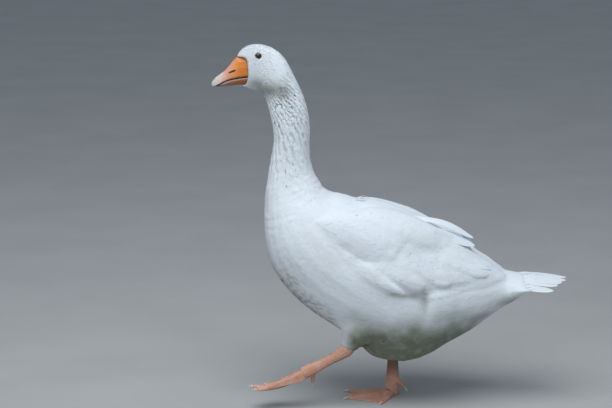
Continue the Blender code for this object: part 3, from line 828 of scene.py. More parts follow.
def soil_and_shade(points):
    """How soiled and shaded the plumage is, from 0 to 1: soil, and painted shade under the head, on the
    shoulders, under the wing and on the underside.
    """
    x, z = points[:, 0], points[:, 2]
    flecks = smoothstep(0.42, 0.72, noise(points * (0.7, 0.7, 1) / (5 * MM), 15))
    total = patches(points, SOILED_AND_SHADED) + patches(points, FLECKED) * (0.25 + 0.75 * flecks)
    _, distance, angle = lie(points)
    share = np.abs(angle) / math.pi
    on_body = smoothstep(ALONG_CROP - 0.05, ALONG_CROP + 0.1, distance)
    behind, at_tail = smoothstep(*BELLY_X, x), smoothstep(*VENT_X, x)
    # Low on the belly and all round the underside the plumage gets soil and painted shade.
    top = SOIL_SHADE_TOP + SOIL_SHADE_RISE * np.maximum(x - SOIL_SHADE_RISE_X, 0)
    wavy = SOIL_SHADE_WAVE * (noise(points / (26 * MM), 16) - 0.5)
    low = smoothstep(0, 1, (top - z + wavy) / (top - SOIL_SHADE_FULL))
    under = smoothstep(*UNDERSIDE, share) * (0.6 - 0.2 * at_tail)
    total += np.maximum(low * behind * (1 - at_tail), under) * on_body
    return np.clip(total * (0.88 + 0.24 * noise(points / (14 * MM), 14)), 0, 1)


NECK_RADIUS = 36 * MM
FURROW_WIDTH, FURROW_DEPTH, FURROW_BEND = 6.6 * MM, 2.6 * MM, 4 * MM
FURROW_SLANT, FURROW_BACK_SLANT = 0.08, 0.52  # slope at the throat, and what the nape adds to it
WRINKLE_HEIGHT, WRINKLE_WIDTH, WRINKLE_LENGTH = 1.5 * MM, 6 * MM, 26 * MM
WRINKLE_TURN = (0.94, 0.34)  # cosine and sine of the wrinkles' slope
# Bands below the nape over which the neck's relief sets in, weakens or ends, in metres.
FURROWS_IN, FURROWS_WEAKEN, FURROWS_OUT = (-0.008, 0.015), (0.13, 0.21), (0.22, 0.28)
SLANT_IN, SLANT_OUT = (-0.01, 0.02), (0.2, 0.28)
WRINKLES_IN, WRINKLES_OUT = (0.1, 0.16), (0.25, 0.36)


def crests(value):
    """1 at whole numbers, and 0 half way between them."""
    return np.abs(value % 1.0 - 0.5) * 2


def neck_slant(distance, angle):
    """How far the neck's furrows lean toward the back, as a slope against the lie."""
    fade = 1 - 0.3 * smoothstep(0, 0.18, distance - ALONG_NAPE)
    return (FURROW_SLANT + FURROW_BACK_SLANT * (1 - np.abs(angle) / math.pi)) * fade


def furrow_place(points):
    """Where round the neck a point is, counted in furrows."""
    _, distance, angle = lie(points)
    around = np.abs(angle) * NECK_RADIUS
    side = np.sign(points[:, 1])
    bend = noise(np.stack([around / (20 * MM), distance / (30 * MM), side * 7], axis=1), 3) - 0.5
    leaning = neck_slant(distance, angle) * (distance - ALONG_NAPE)
    return (around + leaning + FURROW_BEND * bend) / FURROW_WIDTH


def furrow(points):
    """Depth, from 0 to 1, of the broken grooves that run down the neck between ridges of plumage."""
    _, distance, angle = lie(points)
    down = distance - ALONG_NAPE
    place = furrow_place(points)
    valley = smoothstep(0.4, 1.0, crests(place))
    side = np.sign(points[:, 1])
    dash = noise(np.stack([np.round(place) * 1.37, distance / (9 * MM), side * 9.3], axis=1), 4)
    strength = smoothstep(*FURROWS_IN, down) * (1 - 0.8 * smoothstep(*FURROWS_WEAKEN, down))
    share = np.abs(angle) / math.pi
    middle = window((0.05, 0.25), (0.85, 0.98), share)
    fade_out = 1 - smoothstep(*FURROWS_OUT, down)
    return valley * smoothstep(0.15, 0.5, dash) * strength * (0.4 + 0.6 * middle) * fade_out


def wrinkles(points):
    """Height of the soft creases across the foot of the neck."""
    down = lie(points)[1] - ALONG_NAPE
    band = window(WRINKLES_IN, WRINKLES_OUT, down)
    cosine, sine = WRINKLE_TURN
    across = (cosine * points[:, 2] - sine * points[:, 0]) / WRINKLE_WIDTH
    along = (cosine * points[:, 0] + sine * points[:, 2]) / WRINKLE_LENGTH
    place = np.stack([across, along, np.sign(points[:, 1]) * 5], axis=1)
    return WRINKLE_HEIGHT * band * (noise(place, 6) - 0.5)


def relief(points):
    """Height of the plumage of head and neck over the outer surface."""
    return wrinkles(points) - FURROW_DEPTH * furrow(points)


def add_markings_and_shade(mesh, points):
    # soil and painted shade, and painted shade in the neck's furrows
    add_value(mesh, "soil_and_shade", soil_and_shade(points))
    add_value(mesh, "fold", furrow(points))


# ---------------- materials


def new_material(name):
    material = bpy.data.materials.new(name)
    material.use_nodes = True
    tree = material.node_tree
    return material, tree, tree.nodes["Principled BSDF"]


def set_inputs(tree, node, inputs):
    """Sets inputs of a node, which may be values or other nodes' outputs."""
    for key, value in inputs.items():
        if isinstance(value, bpy.types.NodeSocket):
            tree.links.new(value, node.inputs[key])
        else:
            node.inputs[key].default_value = value


def add_node(tree, kind, inputs, **settings):
    """A new node with its inputs and its settings."""
    node = tree.nodes.new(kind)
    for key, value in settings.items():
        setattr(node, key, value)
    set_inputs(tree, node, inputs)
    return node


def layered(tree, colour, *layers):
    """A colour with others laid over it one by one, each given as (factor, colour)."""
    for factor, over in layers:
        inputs = {0: factor, 6: colour, 7: over}
        colour = add_node(tree, "ShaderNodeMix", inputs, data_type="RGBA").outputs[2]
    return colour


def attribute(tree, name):
    return add_node(tree, "ShaderNodeAttribute", {}, attribute_name=name).outputs["Fac"]


def object_place(tree):
    return add_node(tree, "ShaderNodeTexCoord", {}).outputs["Object"]


def object_noise(tree, scale, detail=3.0, distortion=0.0):
    inputs = {"Vector": object_place(tree), "Scale": scale, "Detail": detail, "Distortion": distortion}
    return add_node(tree, "ShaderNodeTexNoise", inputs).outputs[0]


def calc(tree, operation, first, second=0.5, clamp=False):
    inputs = {0: first, 1: second}
    return add_node(tree, "ShaderNodeMath", inputs, operation=operation, use_clamp=clamp).outputs[0]


def times(tree, first, second):
    return calc(tree, "MULTIPLY", first, second)


def ramp(tree, factor, low, high):
    """A value from 0 to 1 as the factor goes from low to high."""
    inputs = {0: factor, 1: low, 2: high}
    return add_node(tree, "ShaderNodeMapRange", inputs, interpolation_type="SMOOTHSTEP").outputs[0]


def bump(tree, height, strength, distance):
    inputs = {"Height": height, "Strength": strength, "Distance": distance}
    return add_node(tree, "ShaderNodeBump", inputs).outputs[0]


FEATHER_WHITE = (0.83, 0.885, 0.93, 1)
FEATHER_WARM = (0.83, 0.87, 0.90, 1)
FEATHER_GREY = (0.58, 0.62, 0.66, 1)
DOWN_WHITE = (0.76, 0.79, 0.80, 1)
# painted shade in the neck's furrows
FURROW_SHADE_COLOUR = (0.42, 0.47, 0.49, 1)
# colour of soil and of painted shade on the plumage
SOIL_AND_SHADE_COLOUR = (0.18, 0.192, 0.14, 1)
BARB_WAVES = 1300.0  # waves of the barbs' sine to one unit of their map


def soiled_and_shaded(tree, colour):
    """A colour with painted shade in the neck's furrows and the plumage's soil and painted shade over
    it, the soil and shade broken up by noise.
    """
    # painted shade in the neck's furrows
    fold = times(tree, attribute(tree, "fold"), 0.68)
    patchy = calc(tree, "ADD", times(tree, object_noise(tree, 90, 4), 0.3), 0.85)
    # soil and painted shade
    amount = calc(tree, "MULTIPLY", attribute(tree, "soil_and_shade"), patchy, clamp=True)
    return layered(tree, colour, (fold, FURROW_SHADE_COLOUR), (amount, SOIL_AND_SHADE_COLOUR))


def plumage_material():
    """White vanes, each with fine barbs on both sides of its shaft."""
    material, tree, shader = new_material("plumage")
    mottle = ramp(tree, object_noise(tree, 22), 0.35, 0.7)
    tone = times(tree, attribute(tree, "tone"), 0.07)
    colour = layered(tree, FEATHER_WHITE, (mottle, FEATHER_WARM), (tone, FEATHER_GREY))
    vane = add_node(tree, "ShaderNodeUVMap", {}, uv_map="vane").outputs[0]
    split = add_node(tree, "ShaderNodeSeparateXYZ", {0: vane})
    off_shaft = calc(tree, "ABSOLUTE", calc(tree, "SUBTRACT", split.outputs[0], 0.5))
    barb = calc(tree, "SUBTRACT", split.outputs[1], off_shaft)
    set_inputs(tree, shader, {
        "Base Color": soiled_and_shaded(tree, colour),
        "Normal": bump(tree, calc(tree, "SINE", times(tree, barb, BARB_WAVES)), 0.2, 0.1 * MM),
        "Roughness": 0.78,
        "Specular IOR Level": 0.2,
        "Sheen Weight": 0.12,
        "Sheen Roughness": 0.5,
    })
    return material


BARE_ORANGE = (0.74, 0.36, 0.22, 1)
BARE_PINK = (0.80, 0.48, 0.38, 1)
# also the colour of painted shade in the creases of shanks and webs
BARE_CREASE = (0.30, 0.10, 0.05, 1)
BARE_SHADE = (0.16, 0.07, 0.05, 1)
LID_COLOUR = (0.34, 0.15, 0.08, 1)


def skin_material():
    """White down under the plumage, and the orange skin of the lids and legs."""
    material, tree, shader = new_material("skin")
    blotches = ramp(tree, object_noise(tree, 45, 4), 0.3, 0.7)
    scales = {"Vector": object_place(tree), "Scale": 520.0}
    edge = add_node(tree, "ShaderNodeTexVoronoi", scales, feature="DISTANCE_TO_EDGE").outputs[0]
    crease = calc(tree, "SUBTRACT", 1.0, ramp(tree, edge, 0.0, 0.16))
    bare = layered(
        tree,
        BARE_ORANGE,
        (blotches, BARE_PINK),
        (times(tree, crease, 0.45), BARE_CREASE),
        # painted shade in the creases of shanks and webs
        (times(tree, attribute(tree, "groove_shade"), 0.7), BARE_CREASE),
        (times(tree, attribute(tree, "shade"), 0.85), BARE_SHADE),
        (attribute(tree, "lid"), LID_COLOUR),
    )
    set_inputs(tree, shader, {
        "Base Color": layered(tree, soiled_and_shaded(tree, DOWN_WHITE), (attribute(tree, "bare"), bare)),
        "Normal": bump(tree, crease, -0.5, 0.3 * MM),
        "Roughness": 0.5,
        "Specular IOR Level": 0.4,
    })
    return material


BILL_DEEP = (0.68, 0.20, 0.02, 1)
BILL_BANDS = (  # colours toward the bill's end: where each begins and is full, in mm, and the colour
    (-296, -316, (0.78, 0.27, 0.05, 1)),  # orange
    (-308, -328, (0.80, 0.36, 0.20, 1)),  # salmon
    (-326, -340, (0.82, 0.45, 0.42, 1)),  # pink
    (-341, -346, (0.68, 0.64, 0.60, 1)),  # the pale nail
)
BILL_COMB = (0.62, 0.55, 0.50, 1)
BILL_BROWN = (0.24, 0.085, 0.03, 1)
# painted shade at the mouth line, in the nostrils, between the comb's teeth and under the nail
BILL_DARK = (0.09, 0.03, 0.02, 1)


def bill_material():
    """Orange horn, deeper at its base and pinker toward its pale nail."""
    material, tree, shader = new_material("bill")
    split = add_node(tree, "ShaderNodeSeparateXYZ", {0: object_place(tree)})
    wavy = times(tree, object_noise(tree, 120, 2), 14 * MM)
    reach = calc(tree, "ADD", split.outputs[0], wavy)
    bands = [(ramp(tree, reach, begin * MM, full * MM), colour) for begin, full, colour in BILL_BANDS]
    streaks = ramp(tree, object_noise(tree, 160, 5, 0.6), 0.35, 0.75)
    colour = layered(
        tree,
        BILL_DEEP,
        *bands,
        (times(tree, streaks, 0.25), BILL_DEEP),
        (attribute(tree, "under"), BILL_BROWN),
        (attribute(tree, "comb"), BILL_COMB),
        # painted shade in the bill's grooves and under the nail
        (attribute(tree, "groove_shade"), BILL_DARK),
    )
    set_inputs(tree, shader, {
        "Base Color": colour,
        "Normal": bump(tree, object_noise(tree, 700, 3), 0.25, 0.3 * MM),
        "Roughness": 0.42,
        "Specular IOR Level": 0.45,
    })
    return material


PUPIL_COLOUR = (0.004, 0.004, 0.006, 1)
IRIS_DARK, IRIS_LIGHT = (0.004, 0.008, 0.024, 1), (0.011, 0.019, 0.048, 1)
EYE_RIM = (0.02, 0.016, 0.018, 1)
PUPIL_EDGE, IRIS_EDGE = (2.4 * MM, 2.8 * MM), (4.6 * MM, 5.2 * MM)


def eye_material(centre):
    """A dark pupil in a blue-grey iris, by distance from the eye's own axis."""
    material, tree, shader = new_material("eye")

    def vector(operation, *values):
        inputs = dict(enumerate(values))
        return add_node(tree, "ShaderNodeVectorMath", inputs, operation=operation).outputs

    offset = vector("SUBTRACT", object_place(tree), centre)[0]
    away = vector("LENGTH", vector("MULTIPLY", offset, (1, 0, 1))[0])["Value"]
    fibres = ramp(tree, object_noise(tree, 1500, 2), 0.3, 0.7)
    iris = layered(tree, IRIS_DARK, (fibres, IRIS_LIGHT))
    rings = (ramp(tree, away, *PUPIL_EDGE), iris), (ramp(tree, away, *IRIS_EDGE), EYE_RIM)
    set_inputs(tree, shader, {
        "Base Color": layered(tree, PUPIL_COLOUR, *rings),
        "Roughness": 0.12,
        "Coat Weight": 0.3,
        "Coat Roughness": 0.03,
    })
    return material


CLAW_PALE, CLAW_BROWN = (0.76, 0.70, 0.62, 1), (0.60, 0.48, 0.40, 1)


def claw_material():
    material, tree, shader = new_material("claw")
    streaks = ramp(tree, object_noise(tree, 420, 4, 1.0), 0.3, 0.7)
    set_inputs(tree, shader, {
        "Base Color": layered(tree, CLAW_PALE, (streaks, CLAW_BROWN)),
        "Normal": bump(tree, streaks, 0.2, 0.2 * MM),
        "Roughness": 0.38,
    })
    return material


# ---------------- lids, legs, bill and eyes

EYE_OPENING = 5.7 * MM
LID_THICKNESS = 0.8 * MM
LID_RINGS, LID_TUBE = 64, 14
EYE_ROWS, EYE_RINGS = 48, 64
CORNEA = 0.03  # how proud the cornea stands, as a share of the radius


def eye_centre(side):
    """Centre and radius of an eye."""
    low, high = np.array(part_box(f"eye_{side}"))
    return (low + high) / 2, (high - low).max() / 2


def lid_arrays(side):
    """A ring of bare skin round the eye's opening, thicker above than below."""
    centre, radius = eye_centre(side)
    out = SIDES[side]
    points = []
    for ring in range(LID_RINGS):
        turn = 2 * math.pi * ring / LID_RINGS
        opening = EYE_OPENING * (1 + 0.06 * math.cos(2 * turn))
        level = math.sqrt(radius ** 2 - opening ** 2)
        thick = LID_THICKNESS * (1 + 0.25 * math.sin(turn) + 0.12 * math.sin(9 * turn))
        for step in range(LID_TUBE):
            roll = 2 * math.pi * step / LID_TUBE
            away = opening + thick * (0.55 + math.cos(roll))
            height = level + thick * (0.75 * math.sin(roll) - 0.1)
            points.append((away * math.cos(turn), out * height, away * math.sin(turn)))
    return np.array(points) + centre, grid_faces(LID_RINGS, LID_TUBE, True, out < 0)


LEG_TUCK = 9 * MM  # how far the top of the bare legs is drawn into the thighs
LEG_FOLD = 0.7 * MM
LEG_SHADE_REACH = (40 * MM, 78 * MM)  # the right shank's shade ends this far below the thigh


def leg_skin():
    """The bare legs and feet on a fine net, how deep in a fold each point is, and how shaded."""
    solids = joined_arrays([node_arrays(name) for name in LEG_NODES])
    points, faces = remeshed(solids, LEG_NET)
    edges = edges_of(faces)
    points = relaxed(points, edges, 2)
    normals = relaxed(vertex_normals(points, faces), edges, 2)
    thigh = node_surface(*THIGH_NODES)
    near = 1 - smoothstep(0, 5 * MM, thigh.distance(points))
    for side in SIDES:
        low, high = np.array(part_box(f"thigh_{side}"))
        mine = (points[:, 1] * SIDES[side] > 0) * near
        toward = unit((low + high) / 2 - points)
        points = points + toward * (LEG_TUCK * mine)[:, None]
    fold = leg_folds(points)
    shade = 0.9 * (1 - smoothstep(*LEG_SHADE_REACH, thigh.distance(points))) * (points[:, 1] > 0)
    under = smoothstep(0.3, 0.9, -normals[:, 2]) * (points[:, 1] < 0)
    sunk = points - unit(normals) * (LEG_FOLD * fold * (1 - near))[:, None]
    return sunk, faces, fold, np.maximum(shade, 0.75 * under)


SCUTE_WIDTH, WEB_CREASE = 3.4 * MM, 5.6 * MM  # distances between the creases of shanks and webs


def leg_folds(points):
    """Depth, from 0 to 1, of the creases between the scutes of the shanks and in the webs."""
    wander = np.stack([noise(points / (9 * MM), seed) for seed in (1, 2, 3)], axis=1)
    bent = points + 4 * MM * (wander - 0.5)
    scutes = crests((bent[:, 2] - 0.35 * bent[:, 0]) / SCUTE_WIDTH)
    webs = crests((bent[:, 0] + 0.3 * bent[:, 1]) / WEB_CREASE)
    on_web = (points[:, 1] > 0) * (1 - smoothstep(16 * MM, 26 * MM, points[:, 2] - CAD_BOX[0][2]))
    crease = smoothstep(0.72, 1.0, scutes) * (1 - on_web) + 0.6 * smoothstep(0.45, 1.0, webs) * on_web
    return crease * (0.35 + 0.65 * noise(points / (12 * MM), 8))


def make_skin(outer, edges, owner):
    """The one skin of body, bare legs and lids, which stands for the CAD nodes of flesh."""
    bare = node_surface(*(BILL_NODES + LEG_NODES))
    body = (inner_skin(outer, edges, owner, bare), outer.faces)
    legs, leg_faces, fold, shade = leg_skin()
    lids = [lid_arrays(side) for side in SIDES]
    points, faces = joined_arrays([body, (legs, leg_faces)] + lids)
    mesh = build_mesh("skin", points, faces)
    first, last = len(body[0]), len(body[0]) + len(legs)
    values = {name: np.zeros(len(points)) for name in ("bare", "groove_shade", "shade", "lid")}
    values["bare"][first:] = 1
    # painted shade in the legs' creases
    values["groove_shade"][first:last] = fold
    values["shade"][first:last] = shade
    values["lid"][last:] = 1
    for name, value in values.items():
        add_value(mesh, name, value)
    add_markings_and_shade(mesh, points)
    skin = add_smooth("skin", mesh, skin_material())
    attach(skin, "root")
    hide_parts(*PLUMAGE_NODES, *LEG_NODES)


NOSTRIL = np.array([(-335.5, 706.0), (-323.5, 711.0)]) * MM  # ends of each nostril in side view
NOSTRIL_DEPTH = 1.2 * MM
COMB_WIDTH, COMB_DEPTH = 1.5 * MM, 0.3 * MM
COMB_IN, COMB_OUT = (1.5 * MM, 2.1 * MM), (4.6 * MM, 6.0 * MM)  # its strip, measured from the mouth
NAIL_X, NAIL_RIM_X = (-0.350, -0.357), (-0.344, -0.350)  # where the nail and its dark rim set in


def nostril_depth(points):
    """From 0 to 1, how deep in the nostril a point of the bill is."""
    flat = points[:, [0, 2]]
    run = NOSTRIL[1] - NOSTRIL[0]
    share = np.clip(((flat - NOSTRIL[0]) @ run) / (run @ run), 0, 1)
    away = np.linalg.norm(flat - NOSTRIL[0] - share[:, None] * run, axis=1)
    return 1 - smoothstep(1.1 * MM, 2.3 * MM, away + 0.6 * MM * (1 - share))


def make_bill(name, other, material):
    """The horn of one half of the bill, with a combed edge along the mouth line."""
    points, faces = remeshed(node_arrays(name), BILL_NET)
    edges = edges_of(faces)
    points = relaxed(points, edges, 2)
    normals = vertex_normals(points, faces)
    x, gap = points[:, 0], node_surface(other).distance(points)
    upper = name == "bill_upper"
    behind_nail = 1 - smoothstep(*NAIL_X, x)
    strip = window(COMB_IN, COMB_OUT, gap) * smoothstep(0.2, 0.6, np.abs(normals[:, 1]))
    strip *= behind_nail * (0.25 if upper else 1.0)
    comb = strip * (0.5 + 0.5 * np.sin(x * 2 * math.pi / COMB_WIDTH))
    lip = (1 - smoothstep(0.7 * MM, 1.5 * MM, gap)) * behind_nail
    nostril = nostril_depth(points) if upper else 0 * gap
    rim = smoothstep(-0.15, 0.4, -normals[:, 2]) * smoothstep(*NAIL_RIM_X, x)
    sunk = COMB_DEPTH * comb + NOSTRIL_DEPTH * nostril
    mesh = build_mesh(f"{name}_horn", points - normals * sunk[:, None], faces)
    add_value(mesh, "comb", 0.8 * strip)
    add_value(mesh, "under", np.full(len(points), 0.0 if upper else 0.8))
    # painted shade: between the comb's teeth, along the mouth line, in the nostril and under the nail
    add_value(mesh, "groove_shade", np.max([0.35 * comb, lip, 0.95 * nostril, 0.75 * rim], axis=0))
    bill = add_smooth(f"{name}_horn", mesh, material)
    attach(bill, "root")
    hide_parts(name)


def make_eye(side):
    """A fine ball with a slightly proud cornea."""
    centre, radius = eye_centre(side)
    out = SIDES[side]
    points = []
    for row in range(EYE_ROWS + 1):
        lift = math.pi * row / EYE_ROWS
        swell = radius * (1 + CORNEA * max(0.0, math.cos(lift)) ** 8)
        flat, height = swell * math.sin(lift), out * swell * math.cos(lift)
        for ring in range(EYE_RINGS):
            turn = 2 * math.pi * ring / EYE_RINGS
            points.append((flat * math.cos(turn), height, flat * math.sin(turn)))
    faces = grid_faces(EYE_ROWS, EYE_RINGS, False, out > 0)
    mesh = build_mesh(f"eyeball_{side}", np.array(points) + centre, faces)
    mesh.validate()
    eye = add_smooth(f"eyeball_{side}", mesh, eye_material(tuple(centre)))
    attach(eye, "root")
    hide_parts(f"eye_{side}")


# ---------------- the plumage

FACE = Vane(
    6.5 * MM, 2.2 * MM, 1.9 * MM, 0.3 * MM, 0.1 * MM, 0.15 * MM, 4, 3, tip=0.3, ragged=0.15,
    jitter=0.04 * MM, tuck=0.05 * MM,
)
NAPE = Vane(
    13 * MM, 2.6 * MM, 4.8 * MM, 0.5 * MM, 0.15 * MM, 0.2 * MM, 5, 3, tip=0.25, ragged=0.15,
    sway=0.02, yaw=0.03, jitter=0.06 * MM, tuck=0.1 * MM,
)
NECK = Vane(
    17 * MM, 4.4 * MM, 5.2 * MM, 0.6 * MM, 0.15 * MM, 0.2 * MM, 5, 3, tip=0.25, ragged=0.15,
    sway=0.03, yaw=0.06, jitter=0.06 * MM, tuck=0.12 * MM,
)
BODY = Vane(
    32 * MM, 14 * MM, 5.6 * MM, 0.9 * MM, 0.3 * MM, 0.22 * MM, 6, 5, tip=0.3, ragged=0.06, rounding=0.15,
    jitter=0.07 * MM, tuck=0.3 * MM,
)
COVERT = Vane(
    34 * MM, 16 * MM, 5.6 * MM, 1.1 * MM, 0.4 * MM, 0.25 * MM, 6, 5, tip=0.3, ragged=0.05, rounding=0.15,
    jitter=0.08 * MM, tuck=0.3 * MM,
)
# These three are sized one by one, so their own length and width say nothing.
LOBE = Vane(
    1, 1, 6.2 * MM, 1.0 * MM, 1.2 * MM, 0.5 * MM, 14, 9, tip=0.35, rounding=0.12, ragged=0.03,
    jitter=0, lift=0.3 * MM, tuck=0.6 * MM, hidden=0.5,
)
QUILL = Vane(1, 1, 0, 0, 1.2 * MM, 0.6 * MM, 18, 9, root=0.6, tip=0.45, rounding=0.06, ragged=0.02)
TUFT = Vane(1, 1, 0, 0, 0.2 * MM, 0.25 * MM, 8, 5, root=0.6, tip=0.2, rounding=0.2, ragged=0.2)

HEAD_SPACING = 1.75 * MM  # distances between the roots of vanes
NECK_VANES = {"neck_upper": (NAPE, 1.5 * MM), "neck_lower": (NECK, 1.95 * MM)}
NECK_FOOT_SPACING = 4.0 * MM
BODY_SPACING = 4.6 * MM
THIGH_SPACING = 3.8 * MM
WING_SPACING = 4.6 * MM
TAIL_SPACING = 6 * MM
BILL_MARGIN, LID_MARGIN = 1.4 * MM, 1.0 * MM  # bare strips beside the bill and the eye's opening
EYE_PROUD = 6 * MM  # how far the eye's opening is from its centre
ALONG_BELLY = ALONG_CROP + 0.16  # where the breast's piece ends and the belly's begins


def neck_lie(outer, points):
    """Like lie(), with the heading turned along the neck's furrows."""
    heading, distance, angle = lie(points)
    _, normal = outer.nearest(points)
    heading = turned(heading, normal, np.zeros(len(points)))
    side = np.cross(normal, heading)
    onward, around = (
        furrow_place(points + MM * step) - furrow_place(points - MM * step) for step in (heading, side)
    )
    lean = np.clip(-onward / np.where(np.abs(around) > 0.1, around, np.inf), -0.8, 0.8)
    strength = window(SLANT_IN, SLANT_OUT, distance - ALONG_NAPE)
    return unit(heading + side * (lean * strength)[:, None]), distance, angle


def left_and_right(points):
    return {"left": points[:, 1] < 0, "right": points[:, 1] >= 0}


def head_coat(outer, part_of_face, material):
    roots = scatter(outer, np.isin(part_of_face, ("head",) + EYE_NODES), HEAD_SPACING)
    keep = node_surface(*BILL_NODES).distance(roots) > BILL_MARGIN
    for side, out in SIDES.items():
        opening = eye_centre(side)[0] + (0, EYE_PROUD * out, 0)
        keep &= np.linalg.norm(roots - opening, axis=1) > EYE_OPENING + LID_MARGIN
    roots = roots[keep]
    heading, distance, _ = neck_lie(outer, roots)
    coat = Coat("coat_head")
    scale = 0.75 + 0.75 * smoothstep(0.02, ALONG_NAPE + 0.02, distance)
    lay_vanes(coat, outer, roots, heading, FACE, scale, relief)
    coat.finish(material)


def neck_coat(outer, part_of_face, material):
    for name, (kind, spacing) in NECK_VANES.items():
        roots = scatter(outer, part_of_face == name, spacing)
        down = lie(roots)[1] - ALONG_NAPE
        roots = roots[furrow(roots) < 0.45 + smoothstep(0.06, 0.12, down)]
        heading, distance, _ = neck_lie(outer, roots)
        if kind is NAPE:
            scale = 1 + 0.35 * smoothstep(ALONG_NAPE, ALONG_NECK_MIDDLE, distance)
        else:
            scale = 1 + 0.5 * smoothstep(ALONG_NECK_MIDDLE, ALONG_CROP, distance)
        coat = Coat(f"coat_{name}")
        lay_vanes(coat, outer, roots, heading, kind, scale, relief)
        coat.finish(material)


def body_coat(outer, part_of_face, material):
    """Breast and belly of each side, denser and smaller at the foot of the neck and on the thighs."""
    distance = lie(outer.centres)[1]
    body = np.isin(part_of_face, ("trunk", "tail") + THIGH_NODES) & (outer.centres[:, 0] < TAIL_BARE_X)
    thighs = node_surface(*THIGH_NODES)
    pieces = {"breast": distance < ALONG_BELLY, "belly": distance >= ALONG_BELLY}
    for side, mine in left_and_right(outer.centres).items():
        for name, here in pieces.items():
            allowed = body & mine & here
            at_thigh = allowed & np.isin(part_of_face, THIGH_NODES)
            at_neck = allowed & (distance < ALONG_CROP + 0.05)
            denser = ((allowed, BODY_SPACING), (at_thigh, THIGH_SPACING), (at_neck, NECK_FOOT_SPACING))
            roots = np.vstack([scatter(outer, faces, spacing) for faces, spacing in denser])
            heading, along, _ = lie(roots)
            scale = 0.6 + 0.4 * smoothstep(ALONG_NECK_FOOT, ALONG_CROP + 0.1, along)
            scale *= 1 - 0.35 * smoothstep(TAIL_BARE_X - 30 * MM, TAIL_BARE_X, roots[:, 0])
            scale *= 0.6 + 0.4 * smoothstep(0, 30 * MM, thighs.distance(roots))
            coat = Coat(f"coat_{name}_{side}")
            lay_vanes(coat, outer, roots, heading, BODY, scale, relief)
            coat.finish(material)


def side_point(outer, side, x, z):
    """The point of the outer surface that is seen from the side at x and z."""
    out = SIDES[side]
    hit = outer.tree.ray_cast((x, out * 0.3, z), (0, -out, 0))
    if hit[0] is None:
        hit = outer.tree.find_nearest((x, out * 0.08, z))
    return np.array(hit[0])


# The two vanes on each long feather of the wing: how far below its middle, and how much shorter.
LOBE_VANES = ((0.22, 0.0), (-0.2, 0.06))
LOBE_VANE_WIDTH = 0.55  # their width, as a share of the feather's


def add_lobe_vanes(coat, outer, side):
    """Vanes over the ends of the wing's long feathers."""
    for root_x, root_z, tip_x, tip_z, width, _ in LOBES[:-1]:
        root, tip = np.array(((root_x, root_z), (tip_x, tip_z))) * MM
        for down, shorter in LOBE_VANES:
            offset = np.array((-0.5, -0.85)) * down * width * MM
            start = root + (tip - root) * (0.5 - shorter) + offset
            end = tip - (tip - root) * shorter + offset * 0.3
            start, end = (side_point(outer, side, *place) for place in (start, end))
            lay_long_vane(coat, outer, start, end, LOBE, width * LOBE_VANE_WIDTH * MM)


# Blades of the left wing, in mm: root, middle and tip, each as x, y, z, then width, and the roll
# toward the viewer.
BLADES = (
    ((40, -22, 404), (112, -24, 391), (176, -25, 358), 20, 0.5),
    ((46, -36, 386), (112, -38, 370), (178, -30, 343), 28, 0.8),
    ((60, -46, 368), (112, -46, 356), (158, -38, 333), 26, 0.8),
)
RIGHT_LOWER = 7  # the right wing's blades lie this much lower, in mm


def tertials(side):
    """The long inner feathers of the folded wing, whose tips stand clear of the rump."""
    out = SIDES[side]
    lower = 0 if side == "left" else RIGHT_LOWER
    for root, middle, tip, width, roll in BLADES:
        path = np.array((root, middle, tip)) * (1, -out, 1) - (0, 0, lower)
        yield path * MM, (0.1, out * roll, 1.0), width * MM


def back_tuft(side):
    """Two loose feathers that stand up between the shoulders."""
    out = SIDES[side]
    low = np.array(((-80, 8 * out, 434), (-64, 8 * out, 440), (-50, 9 * out, 443.5))) * MM
    high = low + np.array((7, 4 * out, -2.5)) * MM
    return (low, (0, 0, 1), 6 * MM), (high, (0, 0, 1), 5 * MM)


COVERT_SCALE, TAIL_COVERT_SCALE = 0.8, 0.62
DROOP_FRONT, DROOP_LOSS = 42, 22  # how steeply the coverts hang in front, and less behind, in degrees


def wing_coat(outer, part_of_face, material):
    for side in SIDES:
        coat = Coat(f"coat_wing_{side}")
        roots = scatter(outer, part_of_face == f"wing_{side}", WING_SPACING)
        low, high = np.array(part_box(f"wing_{side}"))
        share = (roots[:, 0] - low[0]) / (high[0] - low[0])
        droop = np.radians(DROOP_FRONT - DROOP_LOSS * smoothstep(0.3, 0.9, share))
        heading = np.stack([np.cos(droop), np.zeros(len(droop)), -np.sin(droop)], axis=1)
        lay_vanes(coat, outer, roots, heading, COVERT, COVERT_SCALE)
        add_lobe_vanes(coat, outer, side)
        add_free_vanes(coat, QUILL, tertials(side))
        add_free_vanes(coat, TUFT, back_tuft(side))
        coat.finish(material)


# The tail's long feathers, in mm: tip x, tip y, tip z, rise half way, width, roll outwards.
TAIL_TIPS = (
    (376, 2, 267, 6.5, 30, -0.12),
    (373, -12, 264, 7.5, 32, 0.22),
    (364, -23, 261.5, 8, 32, 0.26),
    (354, -33, 258.5, 8, 32, 0.3),
    (327, -44, 256, 6, 32, 0.34),
    (343, -57, 252.5, 3.5, 26, 0.26),
    (362, 15, 265.5, 7, 32, 0.16),
    (356, 27, 262.5, 7.5, 32, 0.26),
    (348, 38, 259, 7.5, 32, 0.32),
    (340, 48, 255.5, 6, 32, 0.36),
    (330, 58, 251, 5, 28, 0.38),
)
TAIL_ROOT_X, TAIL_MIDDLE_X, TAIL_ROOT_Z = 228, 296, 268
TAIL_COVERT_X = 0.255  # the coverts over the quills begin here


